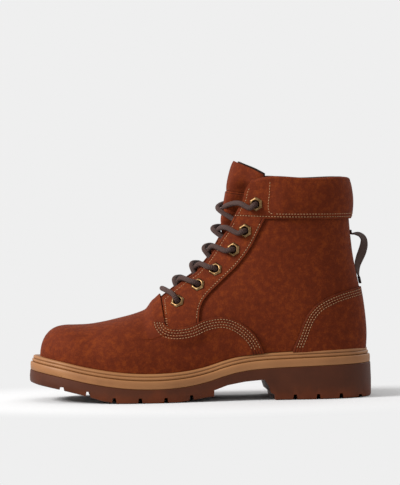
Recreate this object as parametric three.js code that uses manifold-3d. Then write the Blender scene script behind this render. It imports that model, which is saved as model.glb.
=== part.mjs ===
// Insulated lace-up boot for the left foot, as its separate pieces: a lugged rubber outsole, midsole and welt;
// leather vamp, quarters, eyestays, collar and heel patch over stiffeners, insulation and lining; a padded
// tongue, eyelets with washers, one lace and a webbing pull loop.
// Millimetres, +Z up. The toe points along -X, and the outer (lateral) side of the foot faces -Y.
import * as THREE from "three";
import { mergeVertices } from "three/addons/utils/BufferGeometryUtils.js";
import Module from "manifold-3d";

const wasm = await Module();
wasm.setup();

// ---------------------------------------------------------------- driving dimensions
const OUTSOLE_LENGTH = 310;
const OUTSOLE_WIDTH = 108; // across the ball of the foot
const COLLAR_HEIGHT = 198; // ground to the collar's top edge

const LEATHER = 1.8; // vamp and quarters
const OVERLAY = 1.6; // eyestays, collar cover and heel patch
const INSULATION = 2.5;
const LINING = 1.2;
const STIFFENER = 1.5; // toe puff and heel counter
const GAP = 0.3; // between pieces that touch

const BAND = 7.5; // height of the midsole's side
const WELT = 6.3; // height of the welt's two beads
const WELT_WIDTH = 13;
const TREAD_DEPTH = 4.8;
const GROOVE = 4; // width of a tread groove at the ground
const CHANNEL_INSET = 19; // outsole edge to the channel that runs round the tread
const FOOTBED = 5;
const INSOLE_BOARD = 2.5;

const EYELET_ACROSS_FLATS = 11.4;
const EYELET_FLANGE = 1.3;
const EYELET_BORE_RADIUS = 3.2;
const EYELET_BARREL_WALL = 0.5;
const WASHER_RADIUS = 4.8;
const WASHER = 0.6;

const LACE_DIAMETER = 4.6;
const LACE_CLEAR = 2.9; // from the lace to the tongue's middle
const AGLET_LENGTH = 22;
const AGLET_DIAMETER = 3.4;

const TONGUE = 5; // padded thickness
const TONGUE_DEPTH = 6.5; // tongue's surface below the upper's, along the middle of the lacing
const TONGUE_TOP_DEPTH = 1; // and at its top
const TONGUE_HALF_WIDTH = 22;
const PAD_HALF_WIDTH = 30; // of the pad at the tongue's top
const STRAP_WIDTH = 12;
const STRAP = 1.6;
const STRAP_STANDOFF = 4.9; // the loop's ends stand clear of the heel, so that it can swing

// ---------------------------------------------------------------- outlines, for a 310 mm outsole and a 198 mm collar
const SOLE_TOP = 45; // heights above this stretch with the collar's height
const sx = OUTSOLE_LENGTH / 310;
const sy = OUTSOLE_WIDTH / 108;
const sz = (COLLAR_HEIGHT - SOLE_TOP) / (198 - SOLE_TOP);
const side = (pairs) => pairs.map(([x, z]) => [x * sx, z > SOLE_TOP ? SOLE_TOP + (z - SOLE_TOP) * sz : z]);
const length = (pairs) => pairs.map(([x, z]) => [x * sx, z]);

// Seen from below: round the outsole's edge from the toe, along the outer side to the heel and back.
const OUTER_EDGE = [[-155, 5], [-152, -10], [-144, -23], [-130, -35.5], [-110, -45], [-85, -52], [-60, -54.5],
  [-35, -53], [-10, -48.5], [15, -44], [40, -41.5], [65, -40.5], [90, -40.5], [115, -38], [135, -30.5],
  [148, -18.5], [155, 0]];
const INNER_EDGE = [[148, 18.5], [135, 30.5], [115, 38], [90, 40], [65, 38.5], [40, 37], [15, 38], [-10, 42.5],
  [-35, 48.5], [-60, 53], [-85, 54.5], [-110, 51.5], [-130, 45], [-144, 34.5], [-152, 20]];

// Heights along the boot: the outsole's top, and its tread.
const OUTSOLE_TOP = length([[-155, 28.7], [-128, 23.4], [-105, 18.3], [-82, 14.5], [-60, 12.5], [-35, 12.3],
  [-13, 14.3], [4, 17.9], [18, 22.2], [31, 25.4], [47, 27.6], [80, 29.2], [155, 31]]);
const TREAD = length([[-156, 17.3], [-147, 15.4], [-128, 12], [-109, 7.6], [-91, 2.4], [-78, 0], [-26, 0],
  [-13, 1.5], [8, 4.8], [20, 1.5], [40, 0], [157, 0]]);
const ARCH = length([[8, -3], [8.6, 10.1], [20.8, 14.4], [36.4, 17.1], [54, 18.6], [58.2, 12.1], [60, 6.5],
  [63.4, 5], [64.4, -3]]);
const FOREFOOT_GROOVES = [-127, -104, -81, -58, -35, -12].map((x) => x * sx);
const HEEL_GROOVES = [81.5, 102.5, 123.5, 142].map((x) => x * sx);

// The upper, seen from the side: its front ridge from the toe to above the tongue, and its lower edge and back.
const RIDGE = side([[-145.3, 31.7], [-145.3, 41.7], [-144.9, 46], [-143.3, 52.6], [-140.4, 58.4], [-135.7, 63.5],
  [-129.9, 66.6], [-122.8, 68], [-113.6, 68.2], [-102.1, 68.6], [-90.5, 70.2], [-74.4, 73.7], [-60, 77.4],
  [-49.5, 81.4], [-41, 87.2], [-33.5, 93.8], [-22.5, 103.3], [-12, 112.4], [0.8, 123.8], [10.1, 138.5],
  [16.6, 153.9], [20, 168.3], [23.4, 187], [27, 203.3], [31, 216], [36, 226.5]]);
const UNDERSIDE = side([[-145.3, 31.7], [-140, 29.8], [-128, 27.2], [-105, 22.1], [-82, 18.3], [-60, 16.3],
  [-35, 16.1], [-13, 18.1], [4, 21.7], [18, 26], [31, 29.2], [47, 31.4], [80, 33], [135, 34], [145.5, 34.8],
  [148.2, 39], [149, 46], [149.5, 57.5], [148.8, 70], [147, 85.6], [144.6, 100], [142, 113], [139.4, 127],
  [137.6, 142], [136.4, 155], [135.4, 170], [135.4, 185], [136, 200], [137, 226.5]]);
const FAN = side([[-150, 232]])[0]; // the upper's sections all pass through this line, above the toe

// Half widths of the upper at its sections, against the section's angle from straight down, in degrees.
const WIDTHS_OUTER = [[12, 41.5], [20, 48.5], [25.6, 49], [31, 46.5], [35, 43.5], [40, 40], [47, 38], [54, 37],
  [60, 36.5], [69, 37], [75, 39], [81, 41], [90, 42]];
const WIDTHS_INNER = [[12, 46], [20, 47.5], [25.6, 45], [31, 41.5], [35, 39], [40, 37], [47, 37], [54, 37],
  [60, 36.5], [69, 37], [75, 39], [81, 41], [90, 42]];
const SQUARENESS = [[0, 2.45], [25, 2.4], [36, 2.1], [50, 2.1], [90, 2.2]]; // 2 is an ellipse
const TOE_SHIFT = 5; // the toe's tip leans to the inner side

// Panel edges, seen from the side.
const VAMP_EDGE = side([[-34.5, 110], [-34.5, 72], [-33, 66.5], [-25.5, 64.8], [-11.8, 66.8], [1, 72.4], [16, 75],
  [26.5, 73], [37, 67.3], [47, 57.5], [54.4, 42], [57, 20]]);
const FACING_EDGE = side([[-33.8, 91.5], [-23.5, 99.4], [-13.5, 107], [-3, 114.2], [4.9, 122.2], [11.5, 131],
  [19, 143.5], [25.4, 153.3], [30, 163], [34.4, 172.1], [38.1, 179.3], [40, 187.3], [42.8, 192.7], [47.7, 197.5]]);
const EYESTAY_BACK = side([[-3.3, 60], [-3.3, 74], [-1.6, 83], [3, 91.4], [16.4, 104.7], [32.5, 120.4],
  [44.1, 136.2], [51.1, 149.8], [55.9, 160]]);
const COLLAR_BOTTOM = side([[24, 163.5], [62.5, 162], [94, 161.4], [150, 160.6]]);
const COLLAR_TOP = side([[47.7, 197.5], [54, 199.4], [63.2, 200.3], [95, 198.3], [134.6, 198.4], [139, 196]]);
const HEEL_PATCH = side([[80, 30], [80.2, 43], [85.8, 57.4], [90.1, 68.6], [94.6, 77], [101.5, 84.3],
  [110.8, 89.9], [124.5, 95.1], [150, 100.6]]);
const TAB_BACK = side([[60, 170]])[0][0]; // the collar is flat in front of here, and padded behind
const EYELETS = side([[-21.5, 88.2], [-3, 102.9], [13.1, 116.6], [29.4, 134.7], [39.8, 151.7], [49.2, 175.6]]);

// ---------------------------------------------------------------- curves
const { lerp, smoothstep } = THREE.MathUtils;

// Dense points of a smooth curve through the given ones.
function smooth(pairs, count = 400) {
  const curve = new THREE.CatmullRomCurve3(pairs.map(([x, z]) => new THREE.Vector3(x, 0, z)), false, "centripetal");
  return curve.getPoints(count).map((p) => [p.x, p.z]);
}

// The value at x on a chain of points whose first numbers rise.
function valueAt(chain, x) {
  let low = 0;
  let high = chain.length - 1;
  while (high - low > 1) {
    const middle = (low + high) >> 1;
    if (chain[middle][0] > x) high = middle;
    else low = middle;
  }
  const share = (x - chain[low][0]) / (chain[high][0] - chain[low][0] || 1);
  return lerp(chain[low][1], chain[high][1], THREE.MathUtils.clamp(share, 0, 1));
}
const curveOf = (pairs) => {
  const chain = smooth(pairs);
  return (x) => valueAt(chain, x);
};

// ---------------------------------------------------------------- solids
// A closed mesh's geometry as a manifold-3d solid, with the faces that collapsed left out.
function solidOf(geometry) {
  const bare = geometry.index ? geometry.toNonIndexed() : geometry.clone();
  bare.deleteAttribute("normal");
  bare.deleteAttribute("uv");
  const merged = mergeVertices(bare, 1e-4);
  const index = merged.index.array;
  const faces = [];
  for (let i = 0; i < index.length; i += 3) {
    const [a, b, c] = [index[i], index[i + 1], index[i + 2]];
    if (a !== b && b !== c && c !== a) faces.push(a, b, c);
  }
  return new wasm.Manifold(new wasm.Mesh({
    numProp: 3, vertProperties: merged.attributes.position.array, triVerts: new Uint32Array(faces),
  }));
}

function geometryOf(solid) {
  const mesh = solid.getMesh();
  return new THREE.BufferGeometry()
    .setAttribute("position", new THREE.BufferAttribute(mesh.vertProperties, 3))
    .setIndex(new THREE.BufferAttribute(mesh.triVerts, 1));
}

function fromTriangles(triangles) {
  const positions = new Float32Array(triangles.flatMap((p) => [p.x, p.y, p.z]));
  return new THREE.BufferGeometry().setAttribute("position", new THREE.BufferAttribute(positions, 3));
}

// Skins a grid of points: rows joined to the next one, each row closed round.
function skin(rows, out) {
  for (let i = 0; i + 1 < rows.length; i++) {
    const count = rows[i].length;
    for (let j = 0; j < count; j++) {
      const [a, b] = [rows[i][j], rows[i][(j + 1) % count]];
      const [c, d] = [rows[i + 1][(j + 1) % count], rows[i + 1][j]];
      out.push(a, b, c, a, c, d);
    }
  }
}

// Closes a ring whose points pair off across the boot: 0 and the middle one are its two ends.
function lid(ring, out, facing) {
  const count = ring.length;
  for (let j = 0; j < count / 2; j++) {
    const quad = [ring[j], ring[j + 1], ring[count - j - 1], ring[(count - j) % count]];
    const order = facing ? [0, 1, 2, 0, 2, 3] : [0, 2, 1, 0, 3, 2];
    out.push(...order.map((k) => quad[k]));
  }
}

// A prism seen from the side: an outline in x and z, running from y0 to y1.
function sidePrism(outline, y0 = -100, y1 = 100) {
  const shape = new THREE.Shape(outline.map(([x, z]) => new THREE.Vector2(x, z)));
  const made = new THREE.ExtrudeGeometry(shape, { depth: y1 - y0, bevelEnabled: false });
  return solidOf(made.rotateX(Math.PI / 2).translate(0, y1, 0));
}

// ---------------------------------------------------------------- sole
const outsoleTop = curveOf(OUTSOLE_TOP);
const tread = (x) => valueAt(TREAD, x);
const weltTop = (x) => outsoleTop(x) + BAND + WELT;

// The outsole's edge at stations that pair off across the boot, with the direction outward at each.
const SOLE_STATIONS = 18;
const soleEdge = (() => {
  const points = [...OUTER_EDGE, ...INNER_EDGE].map(([x, y]) => new THREE.Vector3(x * sx, y * sy, 0));
  const whole = new THREE.CatmullRomCurve3(points, true, "centripetal").getPoints(800);
  const toe = whole.reduce((best, p, i) => (p.x < whole[best].x ? i : best), 0);
  const turned = [...whole.slice(toe, -1), ...whole.slice(0, toe + 1)];
  const heel = turned.reduce((best, p, i) => (p.x > turned[best].x ? i : best), 0);
  const outer = turned.slice(0, heel + 1).map((p) => [p.x, p.y]);
  const inner = turned.slice(heel).reverse().map((p) => [p.x, p.y]);
  const [first, last] = [turned[0].x, turned[heel].x];
  const ring = [];
  for (let i = 0; i < 2 * SOLE_STATIONS; i++) {
    const across = Math.abs(i <= SOLE_STATIONS ? i : 2 * SOLE_STATIONS - i) / SOLE_STATIONS;
    const x = lerp(first, last, (1 - Math.cos(Math.PI * across)) / 2);
    ring.push(new THREE.Vector3(x, valueAt(i <= SOLE_STATIONS ? outer : inner, x), 0));
  }
  return ring.map((p, i) => {
    const along = ring[(i + 1) % ring.length].clone().sub(ring.at(i - 1)).normalize();
    return { p, out: new THREE.Vector3(along.y, -along.x, 0) };
  });
})();

const soleRing = (inset, height) => soleEdge.map(({ p, out }) => {
  const q = p.clone().addScaledVector(out, -inset);
  return q.setZ(height(q.x));
});

// A slab between two or more rings, from the lowest up.
function slab(rings) {
  const triangles = [];
  skin(rings, triangles);
  lid(rings[0], triangles, false);
  lid(rings.at(-1), triangles, true);
  return orient(fromTriangles(triangles));
}

// A frame that runs round the sole's edge, with the given section of [inset, height] pairs.
function frame(section) {
  const rings = section.map(([inset, height]) => soleRing(inset, height));
  const triangles = [];
  skin([...rings, rings[0]], triangles);
  return orient(fromTriangles(triangles));
}

// The solid, turned right way out if its faces point inwards.
function orient(geometry) {
  const solid = solidOf(geometry);
  if (solid.volume() > 0) return solid;
  const p = geometry.attributes.position.array;
  for (let i = 0; i < p.length; i += 9)
    for (let k = 0; k < 3; k++) [p[i + 3 + k], p[i + 6 + k]] = [p[i + 6 + k], p[i + 3 + k]];
  return solidOf(geometry);
}

// A groove across the tread, wider at the ground, from one side's edge towards the middle.
function treadGroove(x) {
  const ground = tread(x);
  return sidePrism([[x - GROOVE / 2 - 0.5, ground - 4], [x + GROOVE / 2 + 0.5, ground - 4],
    [x + GROOVE / 3, ground + TREAD_DEPTH], [x - GROOVE / 3, ground + TREAD_DEPTH]]);
}

function outsole() {
  let body = slab([
    soleRing(1.8, tread),
    soleRing(0, (x) => tread(x) + 2),
    soleRing(0.8, outsoleTop),
  ]);
  body = body.subtract(sidePrism(ARCH));
  for (const x of [...FOREFOOT_GROOVES, ...HEEL_GROOVES]) body = body.subtract(treadGroove(x));
  const channel = frame([[CHANNEL_INSET, (x) => tread(x) - 4], [CHANNEL_INSET, (x) => tread(x) + TREAD_DEPTH],
    [CHANNEL_INSET + GROOVE, (x) => tread(x) + TREAD_DEPTH], [CHANNEL_INSET + GROOVE, (x) => tread(x) - 4]]);
  const treaded = [[-134, 6], [53, 130]].map(([from, to]) =>
    sidePrism([[from * sx, -9], [to * sx, -9], [to * sx, 30], [from * sx, 30]]));
  return body.subtract(channel.intersect(treaded[0].add(treaded[1])));
}

const midsole = () => slab([
  soleRing(1, (x) => outsoleTop(x) + GAP),
  soleRing(1, (x) => outsoleTop(x) + BAND - 0.8),
  soleRing(1.8, (x) => outsoleTop(x) + BAND),
]);

// Two rounded beads, one above the other, running round the midsole's edge.
const welt = () => frame([
  [3, (x) => outsoleTop(x) + BAND + GAP],
  [2.5, (x) => outsoleTop(x) + BAND + WELT * 0.27],
  [3.6, (x) => outsoleTop(x) + BAND + WELT * 0.5],
  [3.4, (x) => outsoleTop(x) + BAND + WELT * 0.75],
  [4.6, weltTop],
  [WELT_WIDTH, weltTop],
  [WELT_WIDTH, (x) => outsoleTop(x) + BAND + GAP],
]);

const insoleBoard = () => slab([
  soleRing(WELT_WIDTH + GAP, (x) => weltTop(x) - INSOLE_BOARD - GAP),
  soleRing(WELT_WIDTH + GAP, (x) => weltTop(x) - GAP),
]);

const cork = () => slab([
  soleRing(WELT_WIDTH + GAP, (x) => outsoleTop(x) + BAND + GAP),
  soleRing(WELT_WIDTH + GAP, (x) => weltTop(x) - INSOLE_BOARD - 2 * GAP),
]);

// A steel strip under the arch, let into the filler.
const SHANK = length([[-20, 0], [95, 0]]).map(([x]) => x);
const SHANK_WIDTH = 16;
const SHANK_THICKNESS = 1.6;
function shankSolid(grow) {
  const from = SHANK[0] - grow;
  const to = SHANK[1] + grow;
  const steps = 8;
  const xs = Array.from({ length: steps + 1 }, (_, i) => lerp(from, to, i / steps));
  const low = xs.map((x) => [x, outsoleTop(x) + BAND + GAP + 0.8 - grow]);
  const high = xs.map((x) => [x, outsoleTop(x) + BAND + GAP + 0.8 + SHANK_THICKNESS + grow]).reverse();
  return sidePrism([...low, ...high], -SHANK_WIDTH / 2 - grow, SHANK_WIDTH / 2 + grow);
}

// ---------------------------------------------------------------- the upper's surface
const polar = ([x, z]) => [Math.atan2(x - FAN[0], FAN[1] - z), Math.hypot(x - FAN[0], FAN[1] - z)];
const ridgeRadius = smooth(RIDGE, 900).map(polar);
const undersideRadius = smooth(UNDERSIDE, 900).map(polar);
const deg = Math.PI / 180;
const [widthOuter, widthInner, squareness] = [WIDTHS_OUTER, WIDTHS_INNER, SQUARENESS].map(curveOf);

// How far the sole's edge, drawn in to the upper's foot, is from the toe-to-heel line at x, on each side.
const FEATHER_INSET = 7;
const footEdge = (() => {
  const ring = soleRing(FEATHER_INSET, () => 0).map((p) => [p.x, p.y]);
  const outer = ring.slice(0, SOLE_STATIONS + 1);
  const inner = [ring[0], ...ring.slice(SOLE_STATIONS).reverse()];
  const [toe, heel] = [RIDGE[0][0], 149 * sx];
  return (x) => {
    const share = THREE.MathUtils.clamp((x - toe) / (heel - toe), 0, 1);
    const at = lerp(outer[0][0], outer.at(-1)[0], share);
    return [valueAt(outer, at), valueAt(inner, at)];
  };
})();

// One section of the upper: its front and lower ends, and on each side its width and where it stops. Sections that
// end on the sole are open below, and those that end on the back of the heel close round it.
const CLOSING = [34.5, 44]; // heights between which a section's end goes from open to closed
const WIDEST = [0.64, 0.5]; // how far down a section is widest, at the instep and at the heel
const WIDEST_FROM = [42, 48]; // sections from the toe to here are widest where their shape says
const WIDEST_TO = [44, 62];
function section(angle) {
  const direction = [Math.sin(angle), -Math.cos(angle)];
  const [near, far] = [valueAt(ridgeRadius, angle), valueAt(undersideRadius, angle)];
  const end = [FAN[0] + direction[0] * far, FAN[1] + direction[1] * far];
  const power = 2 / squareness(angle / deg);
  const middle = TOE_SHIFT * (1 - smoothstep(end[0], -150 * sx, -50 * sx));
  const open = end[0] > 0 ? 1 - smoothstep(end[1], ...CLOSING) : 1;
  const foot = footEdge(end[0]).map((y) => open * Math.abs(y - middle));
  const blend = smoothstep(angle / deg, 9, 19);
  const sides = [widthOuter, widthInner].map((width, k) => {
    const wide = Math.max(foot[k] * 1.005, lerp(foot[k] * 1.03, width(angle / deg) * sy, blend), 0.05);
    const last = Math.PI - Math.asin(Math.min(1, (foot[k] / wide) ** (1 / power)));
    const round = spread(last, power);
    const eased = lerp(...WIDEST, smoothstep(angle / deg, ...WIDEST_TO));
    const widest = lerp(1 / round, eased, smoothstep(angle / deg, ...WIDEST_FROM));
    return { wide, last, round, widest };
  });
  return { near, far, direction, power, middle, sides, closed: foot[0] + foot[1] < 0.5 };
}

const spread = (a, power) => 1 - Math.sign(Math.cos(a)) * Math.abs(Math.cos(a)) ** power;

// A point of the surface. turn runs from 0 on the ridge to -1 (outer side) or 1 (inner side) at the section's end.
function surface(angle, turn) {
  const s = section(angle);
  if (s.closed && Math.abs(turn) > 1) turn -= 2 * Math.sign(turn);
  turn = THREE.MathUtils.clamp(turn, -1, 1);
  const { wide, last, round, widest } = s.sides[turn < 0 ? 0 : 1];
  const a = Math.abs(turn) * last;
  const part = spread(a, s.power);
  const r = lerp(s.near, s.far, part < 1 ? widest * part : lerp(widest, 1, (part - 1) / (round - 1)));
  const y = s.middle + Math.sign(turn) * wide * Math.sin(a) ** s.power;
  return new THREE.Vector3(FAN[0] + s.direction[0] * r, y, FAN[1] + s.direction[1] * r);
}

function outward(angle, turn) {
  const [da, dt] = [0.2 * deg, 0.02];
  const along = surface(angle + da, turn).sub(surface(angle - da, turn));
  const across = surface(angle, turn + dt).sub(surface(angle, turn - dt));
  const n = along.cross(across).normalize();
  const s = section(angle);
  const r = (s.near + s.far) / 2;
  const core = new THREE.Vector3(FAN[0] + s.direction[0] * r, s.middle, FAN[1] + s.direction[1] * r);
  if (n.dot(surface(angle, turn).sub(core)) < 0) n.negate();
  if (Math.abs(turn) > 0.999 && s.closed) n.setY(0).normalize();
  return n;
}

// Where a point seen from the side lies on the surface, as its angle and turn.
function placeOf([x, z], which) {
  const [angle, r] = polar([x, z]);
  const s = section(angle);
  const { last, round, widest } = s.sides[which < 0 ? 0 : 1];
  const down = THREE.MathUtils.clamp((r - s.near) / (s.far - s.near), 0, 1);
  const q = down < widest ? 1 - down / widest : -((down - widest) / (1 - widest)) * (round - 1);
  const a = Math.acos(Math.sign(q) * Math.abs(q) ** (1 / s.power));
  return [angle, (which * a) / last];
}

const ANGLES = [1.42, 2.6, 5, 8.5, 13, 19, 26, 33, 39.5, 45, 50.5, 54.5, 57.8, 62.5, 68, 74, 80, 88].map((a) => a * deg);
const TURNS = [0, 0.07, 0.15, 0.25, 0.38, 0.52, 0.66, 0.78, 0.89, 1]; // from the ridge to each side's end
const TONGUE_TURNS = [0, 0.03, 0.06, 0.1, 0.15, 0.21, 0.3, 0.6, 1];

// The upper's shape grown by an offset, as one closed solid.
function formed(offset, turns = TURNS) {
  const grow = typeof offset === "number" ? () => offset : offset;
  const round = [...turns.map((t) => -t), ...turns.slice(1).reverse()];
  const rows = ANGLES.map((angle) => round.map((turn) =>
    surface(angle, turn).addScaledVector(outward(angle, turn), grow(angle, turn))));
  const triangles = [];
  skin(rows, triangles);
  for (const [row, facing] of [[rows[0], false], [rows.at(-1), true]]) {
    for (let j = 1; j + 1 < row.length; j++)
      triangles.push(...(facing ? [row[0], row[j], row[j + 1]] : [row[0], row[j + 1], row[j]]));
  }
  return orient(fromTriangles(triangles));
}

const layer = (outer, inner) => formed(outer).subtract(formed(inner));

// ---------------------------------------------------------------- regions of the upper, seen from the side
const SEAT_GAP = 0.8; // from the welt's top to the upper's lower edge
const FLOOR = -20;
const SKY = 300;
const FAR = 400;
const seatLine = smooth(OUTSOLE_TOP, 16).map(([x, z]) => [x, z + BAND + WELT + SEAT_GAP]);
const collarTop = (inset) => smooth(COLLAR_TOP, 6).map(([x, z]) => [x, z - inset]);
const onSole = sidePrism([[-FAR, seatLine[0][1]], ...seatLine, [FAR, seatLine.at(-1)[1]], [FAR, SKY], [-FAR, SKY]]);
const underCollarTop = (inset) => sidePrism([[-FAR, FLOOR], [FAR, FLOOR], [FAR, COLLAR_TOP.at(-1)[1] - inset],
  ...collarTop(inset).reverse(), [-FAR, COLLAR_TOP[0][1] - inset]]);
const outerHalf = sidePrism([[-FAR, FLOOR], [FAR, FLOOR], [FAR, SKY], [-FAR, SKY]], -200, -GAP / 2);
const innerHalf = sidePrism([[-FAR, FLOOR], [FAR, FLOOR], [FAR, SKY], [-FAR, SKY]], GAP / 2, 200);

const shifted = (pairs, dx, dz) => pairs.map(([x, z]) => [x + dx, z + dz]);

// Everything ahead of a line that runs from the top down, and everything behind it.
const ahead = (line) => sidePrism([[-FAR, line[0][1]], ...line, [line.at(-1)[0], FLOOR - 1], [-FAR, FLOOR - 1]]);
const vampLine = smooth(VAMP_EDGE, 13);
const aheadOfVampEdge = sidePrism([[-FAR, SKY], [vampLine[0][0], SKY], ...vampLine, [vampLine.at(-1)[0], FLOOR],
  [-FAR, FLOOR]]);
const behindVampEdge = sidePrism([[vampLine[0][0] + GAP, SKY], ...shifted(vampLine, GAP, GAP),
  [vampLine.at(-1)[0] + GAP, FLOOR], [FAR, FLOOR], [FAR, SKY]]);
const eyestayLine = smooth(EYESTAY_BACK, 8);
const aheadOfEyestay = (shift) => sidePrism([[-FAR, FLOOR], [eyestayLine[0][0] + shift, FLOOR],
  ...shifted(eyestayLine, shift, 0), [TAB_BACK + shift, eyestayLine.at(-1)[1] + 4], [TAB_BACK + shift, SKY],
  [-FAR, SKY]]);
const collarLine = smooth(COLLAR_BOTTOM, 3);
const aboveCollarLine = (rise) => sidePrism([[-FAR, collarLine[0][1] + rise], ...shifted(collarLine, 0, rise),
  [FAR, collarLine.at(-1)[1] + rise], [FAR, SKY], [-FAR, SKY]]);
const patchLine = smooth(HEEL_PATCH, 8);
const behindPatchLine = (shift) => sidePrism([...shifted(patchLine, shift, -shift), [FAR, patchLine.at(-1)[1] - shift],
  [FAR, FLOOR], [patchLine[0][0] + shift, FLOOR]]);
const COUNTER_INSET = 12; // the stiffener stops this far inside the heel patch
const COLLAR_LAP = 8; // the quarters run this far up under the collar
const PUFF_BACK = -100 * sx; // the toe puff's rear edge

// ---------------------------------------------------------------- the opening between the facings
const facingTurns = smooth(FACING_EDGE, 11).map((spot) => placeOf(spot, 1));
const facingTurn = (angle) => valueAt(facingTurns, angle);
const OPENING_REACH = [9, -16]; // above the upper's surface and below it

// The space between the facings, cut square to the surface, from just ahead of the throat to above the collar.
const opening = (() => {
  const spots = [[facingTurns[0][0] - 1.2 * deg, facingTurns[0][1]], ...facingTurns.slice(1),
    [ANGLES.at(-1), facingTurns.at(-1)[1] * 1.1]];
  const across = [-1, -0.5, 0, 0.5, 1];
  const rows = spots.map(([angle, turn]) => OPENING_REACH.flatMap((reach, k) => {
    const line = across.map((share) =>
      surface(angle, share * turn).addScaledVector(outward(angle, share * turn), reach));
    return k ? line.reverse() : line;
  }));
  const triangles = [];
  skin(rows, triangles);
  for (const [row, facing] of [[rows[0], false], [rows.at(-1), true]]) {
    for (let j = 0; j + 1 < across.length; j++) {
      const quad = [row[j], row[j + 1], row[row.length - 2 - j], row[row.length - 1 - j]];
      triangles.push(...(facing ? [0, 1, 2, 0, 2, 3] : [0, 2, 1, 0, 3, 2]).map((k) => quad[k]));
    }
  }
  return orient(fromTriangles(triangles));
})();

// ---------------------------------------------------------------- eyelets
const CROWN = 0.65; // how far a flat flange stands off the curved leather
const EYELET_SEAT = GAP + OVERLAY + CROWN; // the flange's underside, above the quarter's surface
const FACING_BACK = LEATHER + GAP + LINING + 2 * CROWN; // the washer's face, below it

// A frame at each eyelet: its centre on the quarter's surface, with its z axis pointing out of the boot.
const eyeletFrames = [-1, 1].map((which) => EYELETS.map((spot) => {
  const [angle, turn] = placeOf(spot, which);
  const n = outward(angle, turn);
  const up = new THREE.Vector3(0, 0, 1).addScaledVector(n, -n.z).normalize();
  const basis = new THREE.Matrix4().makeBasis(up.clone().cross(n), up, n);
  return basis.setPosition(surface(angle, turn));
}));
const everyEyelet = eyeletFrames.flat();

function disc(radius, from, to, sides, turn = 0) {
  return new THREE.CylinderGeometry(radius, radius, to - from, sides).rotateX(Math.PI / 2).rotateZ(turn)
    .translate(0, 0, (from + to) / 2);
}

const BARREL_RADIUS = EYELET_BORE_RADIUS + EYELET_BARREL_WALL;
const ROUND = 8; // sides of a round hole

function eyelet() {
  const corner = EYELET_ACROSS_FLATS / Math.sqrt(3);
  const flange = new THREE.CylinderGeometry(corner * 0.82, corner, EYELET_FLANGE, 6).rotateX(Math.PI / 2)
    .rotateZ(Math.PI / 6).translate(0, 0, EYELET_SEAT + EYELET_FLANGE / 2);
  return solidOf(flange)
    .add(solidOf(disc(BARREL_RADIUS, -FACING_BACK - WASHER - GAP, EYELET_SEAT + 0.2, ROUND)))
    .subtract(solidOf(disc(EYELET_BORE_RADIUS, -20, 20, ROUND)));
}

const washer = () => solidOf(disc(WASHER_RADIUS, -FACING_BACK - WASHER, -FACING_BACK, ROUND))
  .subtract(solidOf(disc(BARREL_RADIUS + 0.1, -20, 20, ROUND)));

const punched = everyEyelet
  .map((at) => solidOf(disc(BARREL_RADIUS + GAP, -8, 8, ROUND).applyMatrix4(at)))
  .reduce((all, one) => all.add(one));

// ---------------------------------------------------------------- the upper's pieces
const outerLayer = layer(0, -LEATHER);
const overlayLayer = layer(GAP + OVERLAY, GAP);
const insulationLayer = layer(-LEATHER - GAP, -LEATHER - GAP - INSULATION);
const stiffenerLayer = layer(-LEATHER - GAP, -LEATHER - GAP - STIFFENER);
const facingLiningLayer = layer(-LEATHER - GAP, -LEATHER - GAP - LINING);
const LINING_DEPTH = LEATHER + GAP + INSULATION + GAP;
const liningLayer = layer(-LINING_DEPTH, -LINING_DEPTH - LINING);
const paddingLayer = layer(0, -LEATHER - GAP - INSULATION);

const vamp = () => outerLayer.intersect(onSole).intersect(aheadOfVampEdge);

function quarter(half) {
  const height = underCollarTop(2).subtract(aboveCollarLine(COLLAR_LAP).subtract(aheadOfEyestay(0)));
  return outerLayer.intersect(onSole).intersect(behindVampEdge).intersect(height).intersect(half)
    .subtract(opening).subtract(punched);
}

const eyestay = (half) => overlayLayer.intersect(behindVampEdge).intersect(aheadOfEyestay(0))
  .subtract(aboveCollarLine(-GAP)).intersect(half).subtract(opening).subtract(punched);

const collarCover = () => overlayLayer.intersect(aboveCollarLine(0)).intersect(underCollarTop(0))
  .subtract(opening).subtract(punched);

const collarPadding = () => paddingLayer.intersect(aboveCollarLine(COLLAR_LAP + GAP)).intersect(underCollarTop(2))
  .subtract(aheadOfEyestay(GAP));

const heelPatch = () => overlayLayer.intersect(onSole).intersect(behindPatchLine(0));

const heelCounter = () => stiffenerLayer.intersect(onSole).intersect(behindPatchLine(COUNTER_INSET));

const toePuff = () => stiffenerLayer.intersect(onSole)
  .intersect(sidePrism([[-FAR, FLOOR], [PUFF_BACK, FLOOR], [PUFF_BACK, SKY], [-FAR, SKY]]));

const vampInsulation = () => insulationLayer.intersect(onSole).intersect(aheadOfVampEdge)
  .intersect(sidePrism([[PUFF_BACK + GAP, FLOOR], [FAR, FLOOR], [FAR, SKY], [PUFF_BACK + GAP, SKY]]));

const quarterInsulation = (half) => insulationLayer.intersect(onSole).intersect(behindVampEdge)
  .subtract(aheadOfEyestay(GAP)).subtract(behindPatchLine(COUNTER_INSET - GAP)).subtract(aboveCollarLine(COLLAR_LAP))
  .intersect(half);

const facingLining = (half) => facingLiningLayer.intersect(behindVampEdge).intersect(aheadOfEyestay(0))
  .intersect(underCollarTop(2)).intersect(half).subtract(opening).subtract(punched);

const vampLining = () => liningLayer.intersect(onSole).intersect(aheadOfVampEdge);

const quarterLining = () => liningLayer.intersect(onSole).intersect(behindVampEdge).intersect(underCollarTop(1))
  .subtract(aheadOfEyestay(GAP));

// The footbed lies on the insole board, inside the lining.
const INSIDE = LINING_DEPTH + LINING + GAP;
const footbed = () => slab([
  soleRing(WELT_WIDTH, (x) => weltTop(x) + GAP),
  soleRing(WELT_WIDTH, (x) => weltTop(x) + FOOTBED),
]).intersect(formed(-INSIDE));

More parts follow.
